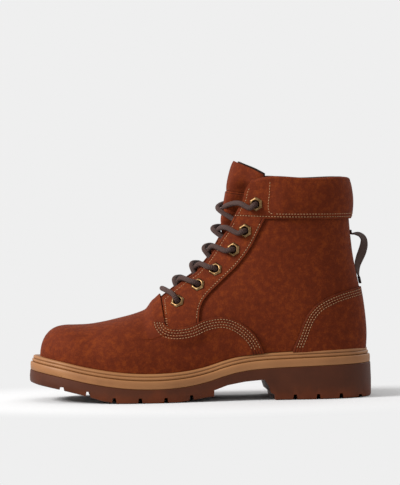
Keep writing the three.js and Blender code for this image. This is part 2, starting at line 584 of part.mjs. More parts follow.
// ---------------------------------------------------------------- tongue
// It rises to the front between the facings, and runs under them far enough in for the lace to pass between.
const BARREL_END = FACING_BACK + WASHER + GAP;
const BEND = LACE_DIAMETER / 2 + 1; // the lace's bend where it leaves an eyelet
const TONGUE_SIDE_DEPTH = BARREL_END + BEND + LACE_DIAMETER / 2 + GAP;
const topAngle = polar(FACING_EDGE.at(-3))[0];
const tongueDepth = (extra) => (angle, turn) => {
  const middle = lerp(TONGUE_DEPTH, TONGUE_TOP_DEPTH, smoothstep(angle, topAngle - 3.5 * deg, topAngle));
  const share = smoothstep(Math.abs(turn), 0.3 * facingTurn(angle), 0.8 * facingTurn(angle));
  return -lerp(middle, TONGUE_SIDE_DEPTH, share) - extra;
};
const TONGUE_OUTLINE = side([[-31, 96], [-31, 79], [-18, 78], [-6, 80], [10, 88], [27, 103], [44, 124], [58, 150],
  [69, 176], [71, 190], [66, 198.5], [60.9, 203.2], [52.1, 209.1], [37.6, 214.7], [31, 214], [22, 226],
  [-60, 226], [-60, 96]]);
const TONGUE_SEAM = side([[0, 192.5], [27, 187.6], [38.4, 184.4], [90, 172]]);
const tongueShape = sidePrism(TONGUE_OUTLINE, -TONGUE_HALF_WIDTH, TONGUE_HALF_WIDTH);
const padShape = sidePrism(TONGUE_OUTLINE, -PAD_HALF_WIDTH, PAD_HALF_WIDTH);
const overSeam = (rise) => sidePrism([...shifted(TONGUE_SEAM, 0, rise), [TONGUE_SEAM.at(-1)[0], SKY],
  [TONGUE_SEAM[0][0], SKY]]);
const tongueLayer = (from, to, shape) => formed(tongueDepth(from), TONGUE_TURNS)
  .subtract(formed(tongueDepth(to), TONGUE_TURNS)).intersect(shape);
const tongue = () => tongueLayer(0, TONGUE, tongueShape).subtract(overSeam(0));
const tonguePad = () => tongueLayer(0, TONGUE, padShape).intersect(overSeam(GAP));
const tongueLining = () => tongueLayer(TONGUE + GAP, TONGUE + GAP + LINING, tongueShape).subtract(overSeam(0));

// ---------------------------------------------------------------- lace
// A round cord through the given points, with the given number of stretches.
const LACE_SIDES = 6;
function cord(points, diameter, steps) {
  const path = new THREE.CatmullRomCurve3(points, false, "centripetal");
  const r = diameter / 2;
  const circle = new THREE.Shape().absarc(0, 0, r, 0, 2 * Math.PI);
  const geometry = new THREE.ExtrudeGeometry(circle, { steps, curveSegments: LACE_SIDES / 2, extrudePath: path });
  return orient(geometry);
}

const FLANGE_TOP = EYELET_SEAT + EYELET_FLANGE;
const OVER_EDGE = GAP + OVERLAY + LACE_DIAMETER / 2 + 2 * GAP; // the lace's middle, crossing over a facing's edge
const UNDER_EDGE = LEATHER + GAP + LINING + LACE_DIAMETER / 2 + GAP; // and under one
const LOWER = -TONGUE_DEPTH + LACE_DIAMETER / 2 + LACE_CLEAR; // and on the tongue
const UPPER = LOWER + LACE_DIAMETER + GAP; // and over the lace that lies there

// The lace at an eyelet, from outside to inside. The two spots are where it comes from and where it goes next.
function throughEyelet(at, from, to) {
  const [origin, n] = [new THREE.Vector3().setFromMatrixPosition(at), new THREE.Vector3(at.elements[8],
    at.elements[9], at.elements[10])];
  const toward = (spot) => spot.clone().sub(origin).projectOnPlane(n).normalize();
  const spot = (aside, aside_by, up) => origin.clone().addScaledVector(aside, aside_by).addScaledVector(n, up);
  const [a, b] = [toward(from), toward(to)];
  return [spot(a, BEND * 1.5, FLANGE_TOP + BEND), spot(a, BEND * 0.32, FLANGE_TOP + BEND * 0.72),
    spot(a, 0, FLANGE_TOP), spot(b, 0, -BARREL_END + GAP),
    spot(b, BEND * 0.32, -BARREL_END - BEND * 0.72), spot(b, BEND * 1.5, -BARREL_END - BEND)];
}

// Between two eyelets on opposite sides: under the first one's facing, over the tongue and over the other facing.
function crossing(from, to, which, height) {
  const [start, end] = [from, to].map((at) => new THREE.Vector3().setFromMatrixPosition(at));
  const angles = [start, end].map((p) => polar([p.x, p.z])[0]);
  const total = Math.abs(start.y) + Math.abs(end.y);
  const spotAt = (turnShare, rise) => {
    let angle = lerp(angles[0], angles[1], 0.5);
    for (let k = 0; k < 4; k++) {
      const y = surface(angle, which * turnShare * facingTurn(angle)).y;
      angle = lerp(angles[0], angles[1], (Math.abs(start.y) - which * y) / total);
    }
    const turn = which * turnShare * facingTurn(angle);
    return surface(angle, turn).addScaledVector(outward(angle, turn), rise);
  };
  return [spotAt(1.2, -UNDER_EDGE - 1.2), spotAt(0.85, -UNDER_EDGE - 0.5), spotAt(0, height), spotAt(-1, OVER_EDGE)];
}

// Half of the lacing: from the bar across the lowest pair, up to the inside of the highest eyelet.
function lacing(which) {
  const points = [];
  const at = (i) => eyeletFrames[which * (-1) ** i < 0 ? 0 : 1][i];
  const middle = (frame) => new THREE.Vector3().setFromMatrixPosition(frame);
  for (let i = 0; i < EYELETS.length; i++) {
    const before = i ? middle(at(i - 1)) : middle(at(0)).multiply(new THREE.Vector3(1, -1, 1));
    const highest = i + 1 === EYELETS.length;
    const after = highest ? middle(at(i)).add(new THREE.Vector3(40, 0, 0)) : middle(at(i + 1));
    points.push(...throughEyelet(at(i), before, after));
    if (!highest) {
      const sideHere = which * (-1) ** i;
      points.push(...crossing(at(i), at(i + 1), sideHere, sideHere < 0 ? UPPER : LOWER));
    }
  }
  return points;
}

function lacedPath() {
  const spot = polar([EYELETS[0][0] - 7 * sx, EYELETS[0][1] + 5 * sz])[0];
  const bar = surface(spot, 0).addScaledVector(outward(spot, 0), OVER_EDGE + 0.5);
  return [...lacing(1).reverse(), bar, ...lacing(-1)];
}
const LACED_STEPS = 160;
const laced = () => cord(lacedPath(), LACE_DIAMETER, LACED_STEPS);

// One free end, tucked inside the boot: down the shaft behind the tongue, then forward on the footbed.
const TUCKED = [[57.9, 27.6, 175.7], [61, 27.4, 175.9], [65, 28, 175.5], [70, 28.3, 173], [74.5, 28.2, 167.5],
  [78, 27.8, 159], [80, 26.6, 145], [80, 26.3, 128], [80, 26, 110], [80, 25.2, 92], [80, 25, 76], [78, 26.2, 65],
  [72, 26.2, 56.5], [62, 26, 51.8], [48, 25.5, 50.2], [34, 25, 48.1], [20, 25, 45], [9, 25, 42.2], [0, 25, 40.1]];
const tuckedPath = (which) => TUCKED.map(([x, y, z]) => new THREE.Vector3(x, which * y, z));
const laceEnd = (which) => cord(tuckedPath(which), LACE_DIAMETER, 40);

// ---------------------------------------------------------------- pull loop
// Webbing seen from the side as a path, with its width across the boot.
function webbing(line, steps) {
  const middle = smooth(line, steps);
  const offset = (amount) => middle.map(([x, z], i) => {
    const [ahead, behind] = [middle[Math.min(i + 1, steps)], middle[Math.max(i - 1, 0)]];
    const [dx, dz] = [ahead[0] - behind[0], ahead[1] - behind[1]];
    const size = Math.hypot(dx, dz);
    return [x - (dz / size) * amount, z + (dx / size) * amount];
  });
  return sidePrism([...offset(-STRAP / 2), ...offset(STRAP / 2).reverse()], -STRAP_WIDTH / 2, STRAP_WIDTH / 2);
}

const backAt = (z, out) => [valueAt(undersideHeights, z) + out, z];
const undersideHeights = smooth(UNDERSIDE, 900).filter(([x, z]) => x > 0 && z > 50).map(([x, z]) => [z, x]);
const [LOOP_TOP, LOOP_BOTTOM] = side([[0, 148], [0, 113]]).map((p) => p[1]);
const OVER_QUARTER = GAP + STRAP / 2 + 0.4;
const strapUpper = () => webbing([backAt(LOOP_TOP + 1, OVER_QUARTER), backAt(LOOP_TOP + 10, OVER_QUARTER)], 2);
const strapLower = () => webbing([backAt(LOOP_BOTTOM - 9, OVER_QUARTER), backAt(LOOP_BOTTOM - 1, OVER_QUARTER)], 2);
const pullLoop = () => webbing([backAt(LOOP_TOP - 1, STRAP_STANDOFF + 0.6), backAt(LOOP_TOP - 4, 10), backAt(
  LOOP_TOP - 10, 13.5), backAt(LOOP_TOP - 19, 11.5), backAt(LOOP_TOP - 27, 7), backAt(LOOP_BOTTOM + 1, STRAP_STANDOFF)],
14);

// ---------------------------------------------------------------- the boot
const boot = new THREE.Group();

const FINISH = {
  leather: [0x7a3520, 0.85, 0],
  lining: [0x3a2720, 0.95, 0],
  foam: [0xc9b79a, 0.95, 0],
  tan: [0x95694d, 0.6, 0],
  rubber: [0x51291b, 0.65, 0],
  brass: [0x8a7446, 0.35, 1],
  webbing: [0x3f2d29, 0.9, 0],
  lace: [0x4a2e26, 0.85, 0],
  board: [0xb08a5e, 0.9, 0],
  steel: [0x9a9a9a, 0.35, 1],
  cork: [0xa9794a, 0.95, 0],
};

function place(name, solid, finish) {
  const [color, roughness, metalness] = FINISH[finish];
  const mesh = new THREE.Mesh(geometryOf(solid), new THREE.MeshStandardMaterial({ color, roughness, metalness }));
  mesh.name = name;
  boot.add(mesh);
  return mesh;
}

place("outsole", outsole(), "rubber");
place("midsole", midsole(), "tan");
place("welt", welt(), "tan");
place("cork_filler", cork().subtract(shankSolid(GAP)), "cork");
place("steel_shank", shankSolid(0), "steel");
place("insole_board", insoleBoard(), "board");
place("footbed", footbed(), "lining");
place("vamp", vamp(), "leather");
place("toe_puff", toePuff(), "board");
place("vamp_insulation", vampInsulation(), "foam");
place("vamp_lining", vampLining(), "lining");
for (const [name, half] of [["lateral", outerHalf], ["medial", innerHalf]]) {
  place(`quarter_${name}`, quarter(half), "leather");
  place(`eyestay_${name}`, eyestay(half), "leather");
  place(`facing_lining_${name}`, facingLining(half), "leather");
  place(`quarter_insulation_${name}`, quarterInsulation(half), "foam");
}
place("quarter_lining", quarterLining(), "lining");
place("collar_cover", collarCover(), "leather");
place("collar_padding", collarPadding(), "foam");
place("heel_patch", heelPatch(), "leather");
place("heel_counter", heelCounter(), "board");
place("tongue", tongue(), "leather");
place("tongue_pad", tonguePad(), "leather");
place("tongue_lining", tongueLining(), "lining");
place("strap_upper", strapUpper(), "webbing");
place("strap_lower", strapLower(), "webbing");
place("pull_loop", pullLoop(), "webbing");
place("lace", laced(), "lace");
[["lateral", -1], ["medial", 1]].forEach(([name, which], k) => {
  eyeletFrames[k].forEach((at, i) => {
    place(`eyelet_${name}_${i + 1}`, eyelet(), "brass").applyMatrix4(at);
    place(`eyelet_washer_${name}_${i + 1}`, washer(), "brass").applyMatrix4(at);
  });
  place(`lace_end_${name}`, laceEnd(which), "lace");
  const [before, last] = tuckedPath(which).slice(-2);
  const along = last.clone().sub(before).normalize();
  const aglet = place(`aglet_${name}`, solidOf(disc(AGLET_DIAMETER / 2, GAP, AGLET_LENGTH, ROUND)), "brass");
  aglet.quaternion.setFromUnitVectors(new THREE.Vector3(0, 0, 1), along);
  aglet.position.copy(last);
});

export default boot;
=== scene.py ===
"""A lace-up leather boot for the left foot: lugged rubber sole, tan welt, nubuck upper, braided lace and pull loop.

Metres. The toe points along -X, and the outer side of the foot faces -Y.
"""

import math

import bmesh
import bpy
import numpy as np
from mathutils import Matrix, Vector
from mathutils.bvhtree import BVHTree
from mathutils.kdtree import KDTree


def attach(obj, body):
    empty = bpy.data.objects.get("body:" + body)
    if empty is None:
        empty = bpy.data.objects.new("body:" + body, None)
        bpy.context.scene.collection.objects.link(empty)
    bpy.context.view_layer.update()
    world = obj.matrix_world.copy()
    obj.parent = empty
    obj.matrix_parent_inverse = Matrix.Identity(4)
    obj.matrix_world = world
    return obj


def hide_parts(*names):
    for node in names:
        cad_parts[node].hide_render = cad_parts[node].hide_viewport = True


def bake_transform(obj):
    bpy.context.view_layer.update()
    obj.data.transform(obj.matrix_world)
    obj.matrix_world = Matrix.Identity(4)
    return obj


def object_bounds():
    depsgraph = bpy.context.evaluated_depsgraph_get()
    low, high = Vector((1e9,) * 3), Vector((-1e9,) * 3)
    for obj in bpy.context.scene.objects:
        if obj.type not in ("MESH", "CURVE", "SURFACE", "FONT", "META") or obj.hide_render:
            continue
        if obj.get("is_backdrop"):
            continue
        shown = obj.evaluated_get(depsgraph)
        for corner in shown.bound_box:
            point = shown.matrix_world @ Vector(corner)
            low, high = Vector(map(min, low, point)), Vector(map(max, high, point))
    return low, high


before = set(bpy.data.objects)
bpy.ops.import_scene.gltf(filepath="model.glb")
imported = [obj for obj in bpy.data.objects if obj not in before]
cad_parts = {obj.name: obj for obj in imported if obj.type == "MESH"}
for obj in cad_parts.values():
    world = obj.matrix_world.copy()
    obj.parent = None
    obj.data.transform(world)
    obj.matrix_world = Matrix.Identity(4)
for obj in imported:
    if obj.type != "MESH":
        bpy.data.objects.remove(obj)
cad_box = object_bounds()
bpy.ops.object.select_all(action="DESELECT")
MM = 0.001

# ---------------------------------------------------------------- camera
# A long lens a little ahead of the boot's middle and just above its collar, looking square at the outer side.
CAMERA_DISTANCE = 2.5
CAMERA_AZIMUTH = math.radians(-4)
CAMERA_HEIGHT = 0.205
AIM = Vector((0.0, 0.0, 0.144))
CAMERA_ROLL = math.radians(-0.7)

camera = bpy.data.objects.new("camera", bpy.data.cameras.new("camera"))
camera.data.lens = 205
camera.data.shift_x = 0.0012
camera.data.shift_y = -0.0070
camera.location = (
    CAMERA_DISTANCE * math.sin(CAMERA_AZIMUTH),
    -CAMERA_DISTANCE * math.cos(CAMERA_AZIMUTH),
    CAMERA_HEIGHT,
)
facing = (AIM - camera.location).to_track_quat("-Z", "Y").to_matrix().to_4x4()
camera.matrix_world = (
    Matrix.Translation(camera.location) @ facing @ Matrix.Rotation(CAMERA_ROLL, 4, "Z")
)
bpy.context.collection.objects.link(camera)
bpy.context.scene.camera = camera
bpy.context.scene.view_settings.view_transform = "Standard"


# ---------------------------------------------------------------- free lace ends
# Each end of the round braided lace drops down inside the shaft and lies on the footbed. A brass aglet crimps it.
def linear(colour):
    """An sRGB hex colour as linear red, green, blue and alpha."""
    parts = [int(colour[i : i + 2], 16) / 255 for i in (1, 3, 5)]
    return [p / 12.92 if p < 0.04045 else ((p + 0.055) / 1.055) ** 2.4 for p in parts] + [1]


def add(tree, kind, settings=None, links=None):
    """Adds a shader node with its settings. Its inputs are linked to sockets, or to the first output of nodes."""
    made = tree.nodes.new("ShaderNode" + kind)
    for key, value in (settings or {}).items():
        if isinstance(key, str) and hasattr(made, key):
            setattr(made, key, value)
        else:
            made.inputs[key].default_value = value
    for key, source in (links or {}).items():
        tree.links.new(getattr(source, "outputs", [source])[0], made.inputs[key])
    return made


def maths(tree, operation, *values):
    """A maths node of numbers, sockets or nodes."""
    made = add(tree, "Math", {"operation": operation})
    for i, value in enumerate(values):
        if isinstance(value, (int, float)):
            made.inputs[i].default_value = value
        else:
            tree.links.new(getattr(value, "outputs", [value])[0], made.inputs[i])
    return made


def material(name):
    """An empty node material, its tree, its surface shader and its texture coordinates."""
    made = bpy.data.materials.new(name)
    made.use_nodes = True
    tree = made.node_tree
    return made, tree, tree.nodes["Principled BSDF"], add(tree, "TexCoord").outputs


def ramp(tree, source, stops):
    """A colour ramp from (position, hex colour) pairs."""
    made = add(tree, "ValToRGB", links={"Fac": source})
    while len(made.color_ramp.elements) < len(stops):
        made.color_ramp.elements.new(0.5)
    for element, (position, colour) in zip(made.color_ramp.elements, stops):
        element.position = position
        element.color = linear(colour)
    return made.outputs["Color"]


def smooth(points, count, closed=False):
    """Points of a centripetal curve through the given ones."""
    p = np.array(points, float)
    n = len(p)
    made = []
    for k in range(count + 1):
        q = (n if closed else n - 1) * k / count
        i = min(int(q), n - 1 if closed else n - 2)
        w = q - i
        if closed:
            p0, p1, p2, p3 = (p[(i + j) % n] for j in (-1, 0, 1, 2))
        else:
            p1, p2 = p[i], p[i + 1]
            p0 = p[i - 1] if i else 2 * p1 - p2
            p3 = p[i + 2] if i + 2 < n else 2 * p2 - p1
        d0, d1, d2 = (max(np.linalg.norm(b - a), 1e-9) ** 0.5 for a, b in ((p0, p1), (p1, p2), (p2, p3)))
        m1 = ((p1 - p0) / d0 - (p2 - p0) / (d0 + d1) + (p2 - p1) / d1) * d1
        m2 = ((p2 - p1) / d1 - (p3 - p1) / (d1 + d2) + (p3 - p2) / d2) * d1
        made.append(p1 + w * (m1 + w * (-3 * p1 + 3 * p2 - 2 * m1 - m2 + w * (2 * p1 - 2 * p2 + m1 + m2))))
    return np.array(made)


def even(points, step):
    """The same line with its points a step apart."""
    along = np.concatenate([[0], np.cumsum(np.linalg.norm(np.diff(points, axis=0), axis=1))])
    count = max(int(round(along[-1] / step)), 2)
    at = np.linspace(0, along[-1], count + 1)
    return np.stack([np.interp(at, along, points[:, k]) for k in range(points.shape[1])], axis=1)


def unit(v):
    return v / np.maximum(np.linalg.norm(v, axis=-1, keepdims=True), 1e-12)


def mesh_piece(name, points, faces, uv=None):
    """A smooth-shaded mesh object, with a UV map where each face corner has one."""
    mesh = bpy.data.meshes.new(name)
    mesh.from_pydata([tuple(p) for p in points], [], faces)
    mesh.polygons.foreach_set("use_smooth", [True] * len(mesh.polygons))
    if uv is not None:
        layer = mesh.uv_layers.new(name="UVMap")
        layer.data.foreach_set("uv", np.array(uv, np.float32).ravel())
    made = bpy.data.objects.new(name, mesh)
    bpy.context.collection.objects.link(made)
    return made


LACE_RADIUS = 2.3 * MM
LACE_SIDES = 14


def braid(name, line, radius):
    """A round cord along a line. Its UV map runs along it and round it, in turns of its girth."""
    tangent = unit(np.gradient(line, axis=0))
    side = unit(np.cross(tangent[0], [0.1, 0.2, 1.0]))
    points = []
    for p, t in zip(line, tangent):
        side = unit(side - t * np.dot(side, t))
        other = np.cross(t, side)
        for k in range(LACE_SIDES):
            turn = 2 * math.pi * k / LACE_SIDES
            points.append(p + radius * (math.cos(turn) * side + math.sin(turn) * other))
    along = np.concatenate([[0], np.cumsum(np.linalg.norm(np.diff(line, axis=0), axis=1))]) / (2 * math.pi * radius)
    faces, uv = [], []
    for i in range(len(line) - 1):
        for k in range(LACE_SIDES):
            m = (k + 1) % LACE_SIDES
            faces.append((i * LACE_SIDES + k, i * LACE_SIDES + m, (i + 1) * LACE_SIDES + m, (i + 1) * LACE_SIDES + k))
            low, high = k / LACE_SIDES, (k + 1) / LACE_SIDES
            uv += [(along[i], low), (along[i], high), (along[i + 1], high), (along[i + 1], low)]
    last = (len(line) - 1) * LACE_SIDES
    for ring in (list(range(LACE_SIDES))[::-1], [last + k for k in range(LACE_SIDES)]):
        faces.append(tuple(ring))
        uv += [(0, 0)] * LACE_SIDES
    return mesh_piece(name, points, faces, uv)


# Braided polyester: sixteen dark strands cross over and under each other with a slight sheen; the colour carries
# painted highlight on their crowns and painted shade in the hollows.
def braided_polyester():
    made, tree, shader, where = material("braided_polyester")
    split = add(tree, "SeparateXYZ", links={0: where["UV"]})
    strands = []
    for sign in (1, -1):
        slant = maths(tree, "MULTIPLY", split.outputs["X"], sign * 6.0)
        turn = maths(tree, "MULTIPLY", split.outputs["Y"], 8.0)
        both = maths(tree, "ADD", slant, turn)
        wave = maths(tree, "MULTIPLY", both, 2 * math.pi)
        strands.append(maths(tree, "SINE", wave))
    crown = maths(tree, "MULTIPLY", strands[0].outputs[0], strands[1].outputs[0])
    level = add(tree, "MapRange", {"From Min": -1.0, "From Max": 1.0}, {"Value": crown})
    fuzz = add(tree, "TexNoise", {"Scale": 2500.0, "Detail": 2.0}, {"Vector": where["Object"]})
    mix = maths(tree, "MULTIPLY_ADD", fuzz, 0.35, level)
    # Painted highlight and shade: the strands' height sets the colour, light on the crowns and dark in the hollows.
    colour = ramp(tree, mix, [(0.2, "#170b08"), (0.6, "#2e1a14"), (1.0, "#4a2f27")])
    tree.links.new(colour, shader.inputs["Base Color"])
    bump = add(tree, "Bump", {"Strength": 0.8, "Distance": 0.0006}, {"Height": level})
    tree.links.new(bump.outputs[0], shader.inputs["Normal"])
    shader.inputs["Roughness"].default_value = 0.72
    shader.inputs["Specular IOR Level"].default_value = 0.35
    shader.inputs["Sheen Weight"].default_value = 0.15
    shader.inputs["Sheen Tint"].default_value = linear("#8a6458")
    return made


lace_stuff = braided_polyester()


# Antiqued brass: brown patina in the hollows, rubbed bright where edges and crowns are touched.
def antique_brass():
    made, tree, shader, where = material("antique_brass")
    patches = add(tree, "TexNoise", {"Scale": 420.0, "Detail": 4.0}, {"Vector": where["Object"]})
    worn = add(tree, "NewGeometry")
    share = maths(tree, "MULTIPLY_ADD", patches, 0.35, worn.outputs["Pointiness"])
    colour = ramp(tree, share, [(0.55, "#3b2a18"), (0.7, "#6e5436"), (0.85, "#a88a62")])
    tree.links.new(colour, shader.inputs["Base Color"])
    rough = add(tree, "MapRange", {"To Min": 0.28, "To Max": 0.5}, {"Value": patches})
    tree.links.new(rough.outputs[0], shader.inputs["Roughness"])
    shader.inputs["Metallic"].default_value = 1.0
    return made


brass = antique_brass()

TUCKED = [
    (57.9, 27.6, 175.7), (61, 27.4, 175.9), (65, 28, 175.5), (70, 28.3, 173), (74.5, 28.2, 167.5), (78, 27.8, 159),
    (80, 26.6, 145), (80, 26.3, 128), (80, 26, 110), (80, 25.2, 92), (80, 25, 76), (78, 26.2, 65), (72, 26.2, 56.5),
    (62, 26, 51.8), (48, 25.5, 50.2), (34, 25, 48.1), (20, 25, 45), (9, 25, 42.2), (0, 25, 40.1),
]
AGLET_LENGTH = 22 * MM
SIDES = {"lateral": -1, "medial": 1}

for side_name, sign in SIDES.items():
    route = np.array([(x, sign * y, z) for x, y, z in TUCKED]) * MM
    line = even(smooth(route, 400), 1.6 * MM)
    end = braid(f"tucked_lace_{side_name}", line, LACE_RADIUS)
    end.data.materials.append(lace_stuff)
    heading = Vector(line[-1] - line[-2]).normalized()
    bpy.ops.mesh.primitive_cylinder_add(vertices=20, radius=1.75 * MM, depth=AGLET_LENGTH)
    aglet = bpy.context.object
    aglet.name = f"crimped_aglet_{side_name}"
    bpy.ops.object.mode_set(mode="EDIT")
    bpy.ops.mesh.select_all(action="DESELECT")
    bpy.ops.object.mode_set(mode="OBJECT")
    for face in aglet.data.polygons:
        face.select = abs(face.normal.z) > 0.9
    bpy.ops.object.mode_set(mode="EDIT")
    bpy.ops.mesh.bevel(offset=0.5 * MM, segments=3)
    bpy.ops.object.mode_set(mode="OBJECT")
    turn = heading.to_track_quat("Z", "Y").to_matrix().to_4x4()
    aglet.data.transform(Matrix.Translation(Vector(line[-1]) + heading * AGLET_LENGTH / 2) @ turn)
    bpy.ops.object.shade_smooth()
    aglet.data.materials.append(brass)
    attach(end, "boot")
    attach(aglet, "boot")
    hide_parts(f"lace_end_{side_name}")
    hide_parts(f"aglet_{side_name}")
    bpy.ops.object.select_all(action="DESELECT")

# ---------------------------------------------------------------- floor and light
# A white sweep. Close to the boot it takes the light and the shadow, and further out it glows with the backdrop's own
# colour, so that no horizon shows.
BACKDROP = "#efefef"
bpy.ops.mesh.primitive_plane_add(size=12)
floor = bpy.context.object
floor.name = "floor"
made, tree, shader, where = material("floor_sweep")
shader.inputs["Base Color"].default_value = linear("#c8c8c8")
shader.inputs["Roughness"].default_value = 0.9
shader.inputs["Specular IOR Level"].default_value = 0.0
glow = add(tree, "Emission", {"Color": linear(BACKDROP), "Strength": 1.0})
squeeze = add(tree, "Mapping", {"Scale": (2.4, 3.6, 1.0)}, {"Vector": where["Object"]})
reach = add(tree, "VectorMath", {"operation": "LENGTH"}, {0: squeeze})
fade = add(
    tree, "MapRange", {"interpolation_type": "SMOOTHSTEP", "From Min": 0.42, "From Max": 0.75},
    {"Value": reach.outputs["Value"]}
)
both = add(tree, "MixShader", links={0: fade, 1: shader, 2: glow})
tree.links.new(both.outputs[0], tree.nodes["Material Output"].inputs["Surface"])
floor.data.materials.append(made)
floor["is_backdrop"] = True

world = bpy.data.worlds.new("studio")
bpy.context.scene.world = world
world.use_nodes = True
world.node_tree.nodes["Background"].inputs["Color"].default_value = linear(BACKDROP)
world.node_tree.nodes["Background"].inputs["Strength"].default_value = 1.0

LIGHTS = [("key", (-2.2, -0.75, 1.5), 0.8, 112), ("rim", (1.2, 1.2, 1.4), 0.8, 6)]
for name, place, size, power in LIGHTS:
    data = bpy.data.lights.new(name, "AREA")
    data.size = size
    data.energy = power
    lamp = bpy.data.objects.new(name, data)
    lamp.location = place
    lamp.rotation_euler = (Vector((0, 0, 0.08)) - Vector(place)).to_track_quat("-Z", "Y").to_euler()
    bpy.context.collection.objects.link(lamp)

# ---------------------------------------------------------------- outsole
# Moulded brown rubber with draft on its sides, a heel block, and lugs cut by cross grooves and an inner channel.
OUTER_EDGE = [
    (-155, 5), (-152, -10), (-144, -23), (-130, -35.5), (-110, -45), (-85, -52), (-60, -54.5), (-35, -53), (
        -10, -48.5
    ),
    (15, -44), (40, -41.5), (65, -40.5), (90, -40.5), (115, -38), (135, -30.5), (148, -18.5), (155, 0),
]
INNER_EDGE = [
    (148, 18.5), (135, 30.5), (115, 38), (90, 40), (65, 38.5), (40, 37), (15, 38), (-10, 42.5), (-35, 48.5), (
        -60, 53
    ),
    (-85, 54.5), (-110, 51.5), (-130, 45), (-144, 34.5), (-152, 20),
]
OUTSOLE_TOP = [
    (-155, 28.7), (-128, 23.4), (-105, 18.3), (-82, 14.5), (-60, 12.5), (-35, 12.3), (-13, 14.3), (4, 17.9), (
        18, 22.2
    ),
    (31, 25.4), (47, 27.6), (80, 29.2), (155, 31),
]
TREAD = [
    (-156, 17.3), (-147, 15.4), (-128, 12), (-109, 7.6), (-91, 2.4), (-78, 0), (-26, 0), (-13, 1.5), (8, 4.8), (
        20, 1.5
    ),
    (40, 0), (157, 0),
]
ARCH = [(8, -3), (8.6, 10.1), (20.8, 14.4), (36.4, 17.1), (54, 18.6), (58.2, 12.1), (60, 6.5), (63.4, 5), (64.4, -3)]
BAND = 7.5
WELT = 6.3
GROOVE = 4.0
GROOVE_DEPTH = 4.8
FOREFOOT_GROOVES = [-127, -104, -81, -58, -35, -12]
HEEL_GROOVES = [81.5, 102.5, 123.5, 142]
GROOVE_FLARE = 0.9
SHALLOW = 0.6  # of the full depth, for the grooves at the toe and the heel's end
CHANNEL_SPANS = [(-130, 4), (68, 128)]
CHANNEL = [(18.2, -4), (19.2, GROOVE_DEPTH), (22.8, GROOVE_DEPTH), (23.8, -4)]  # inset and height above the tread
REACH = 90  # of the cutters, to each side
STATIONS = 90

outsole_line = smooth(OUTSOLE_TOP, 400)


def outsole_top(x):
    return np.interp(x, outsole_line[:, 0], outsole_line[:, 1])


def tread(x):
    return np.interp(x, np.array(TREAD)[:, 0], np.array(TREAD)[:, 1])


def welt_top(x):
    return outsole_top(x) + BAND + WELT


def footprint(stations):
    """The sole's edge in millimetres at stations that pair off across the boot, and the direction outward there."""
    whole = smooth(OUTER_EDGE + INNER_EDGE, 1600, closed=True)[:-1]
    whole = np.roll(whole, -int(whole[:, 0].argmin()), axis=0)
    heel = int(whole[:, 0].argmax())
    outer = whole[: heel + 1]
    inner = np.vstack([whole[heel:], whole[:1]])[::-1]
    share = (1 - np.cos(np.pi * np.arange(stations + 1) / stations)) / 2
    x = outer[0, 0] + share * (outer[-1, 0] - outer[0, 0])
    near = np.stack([x, np.interp(x, outer[:, 0], outer[:, 1])], axis=1)
    far = np.stack([x, np.interp(x, inner[:, 0], inner[:, 1])], axis=1)
    ring = np.vstack([near, far[1:-1][::-1]])
    along = unit(np.roll(ring, -1, axis=0) - np.roll(ring, 1, axis=0))
    return ring, np.stack([along[:, 1], -along[:, 0]], axis=1)


edge_ring, edge_out = footprint(STATIONS)


def sole_ring(inset, height):
    """The sole's edge moved inward, at heights given along the boot."""
    flat = edge_ring - edge_out * np.broadcast_to(inset, (len(edge_ring),))[:, None]
    return np.column_stack([flat, height(flat[:, 0])]) * MM


def loft(name, rings, closed=False):
    """Skins rings of points that pair off across the boot, and closes the first and last ones."""
    n = len(rings[0])
    points = np.vstack(rings)
    faces = []
    for i in range(len(rings) - (0 if closed else 1)):
        a, b = i * n, ((i + 1) % len(rings)) * n
        faces += [(a + j, a + (j + 1) % n, b + (j + 1) % n, b + j) for j in range(n)]
    if not closed:
        top = (len(rings) - 1) * n
        for j in range(n // 2):
            quad = (j, (n - j) % n, n - j - 1, j + 1)
            faces.append(tuple(dict.fromkeys(quad)))
            faces.append(tuple(dict.fromkeys(top + k for k in quad[::-1])))
    made = mesh_piece(name, points, faces)
    face_outward(made)
    return made


def face_outward(piece):
    """Turns a closed mesh's faces outward."""
    shape = bmesh.new()
    shape.from_mesh(piece.data)
    bmesh.ops.recalc_face_normals(shape, faces=shape.faces[:])
    if shape.calc_volume(signed=True) < 0:
        bmesh.ops.reverse_faces(shape, faces=shape.faces[:])
    shape.to_mesh(piece.data)
    shape.free()


def apply_all(piece):
    """Applies every modifier on a piece."""
    bpy.ops.object.select_all(action="DESELECT")
    bpy.context.view_layer.objects.active = piece
    piece.select_set(True)
    for modifier in list(piece.modifiers):
        bpy.ops.object.modifier_apply(modifier=modifier.name)
    piece.select_set(False)


def side_cutter(name, outline, y0, y1):
    """A straight prism across the boot, seen from the side as an outline in millimetres."""
    bpy.ops.mesh.primitive_circle_add(vertices=len(outline), fill_type="NGON")
    cutter = bpy.context.object
    cutter.name = name
    for vertex, (x, z) in zip(cutter.data.vertices, outline):
        vertex.co = Vector((x, y0, z)) * MM
    bpy.ops.object.mode_set(mode="EDIT")
    bpy.ops.mesh.select_all(action="SELECT")
    bpy.ops.mesh.extrude_region_move(TRANSFORM_OT_translate={"value": (0, (y1 - y0) * MM, 0)})
    bpy.ops.mesh.select_all(action="SELECT")
    bpy.ops.mesh.normals_make_consistent(inside=False)
    bpy.ops.object.mode_set(mode="OBJECT")
    return cutter


def cut(piece, cutter):
    """Takes the cutter out of a piece."""
    modifier = piece.modifiers.new("cut", "BOOLEAN")
    modifier.operation = "DIFFERENCE"
    modifier.object = cutter
    modifier.solver = "EXACT"
    apply_all(piece)
    bpy.data.objects.remove(cutter)


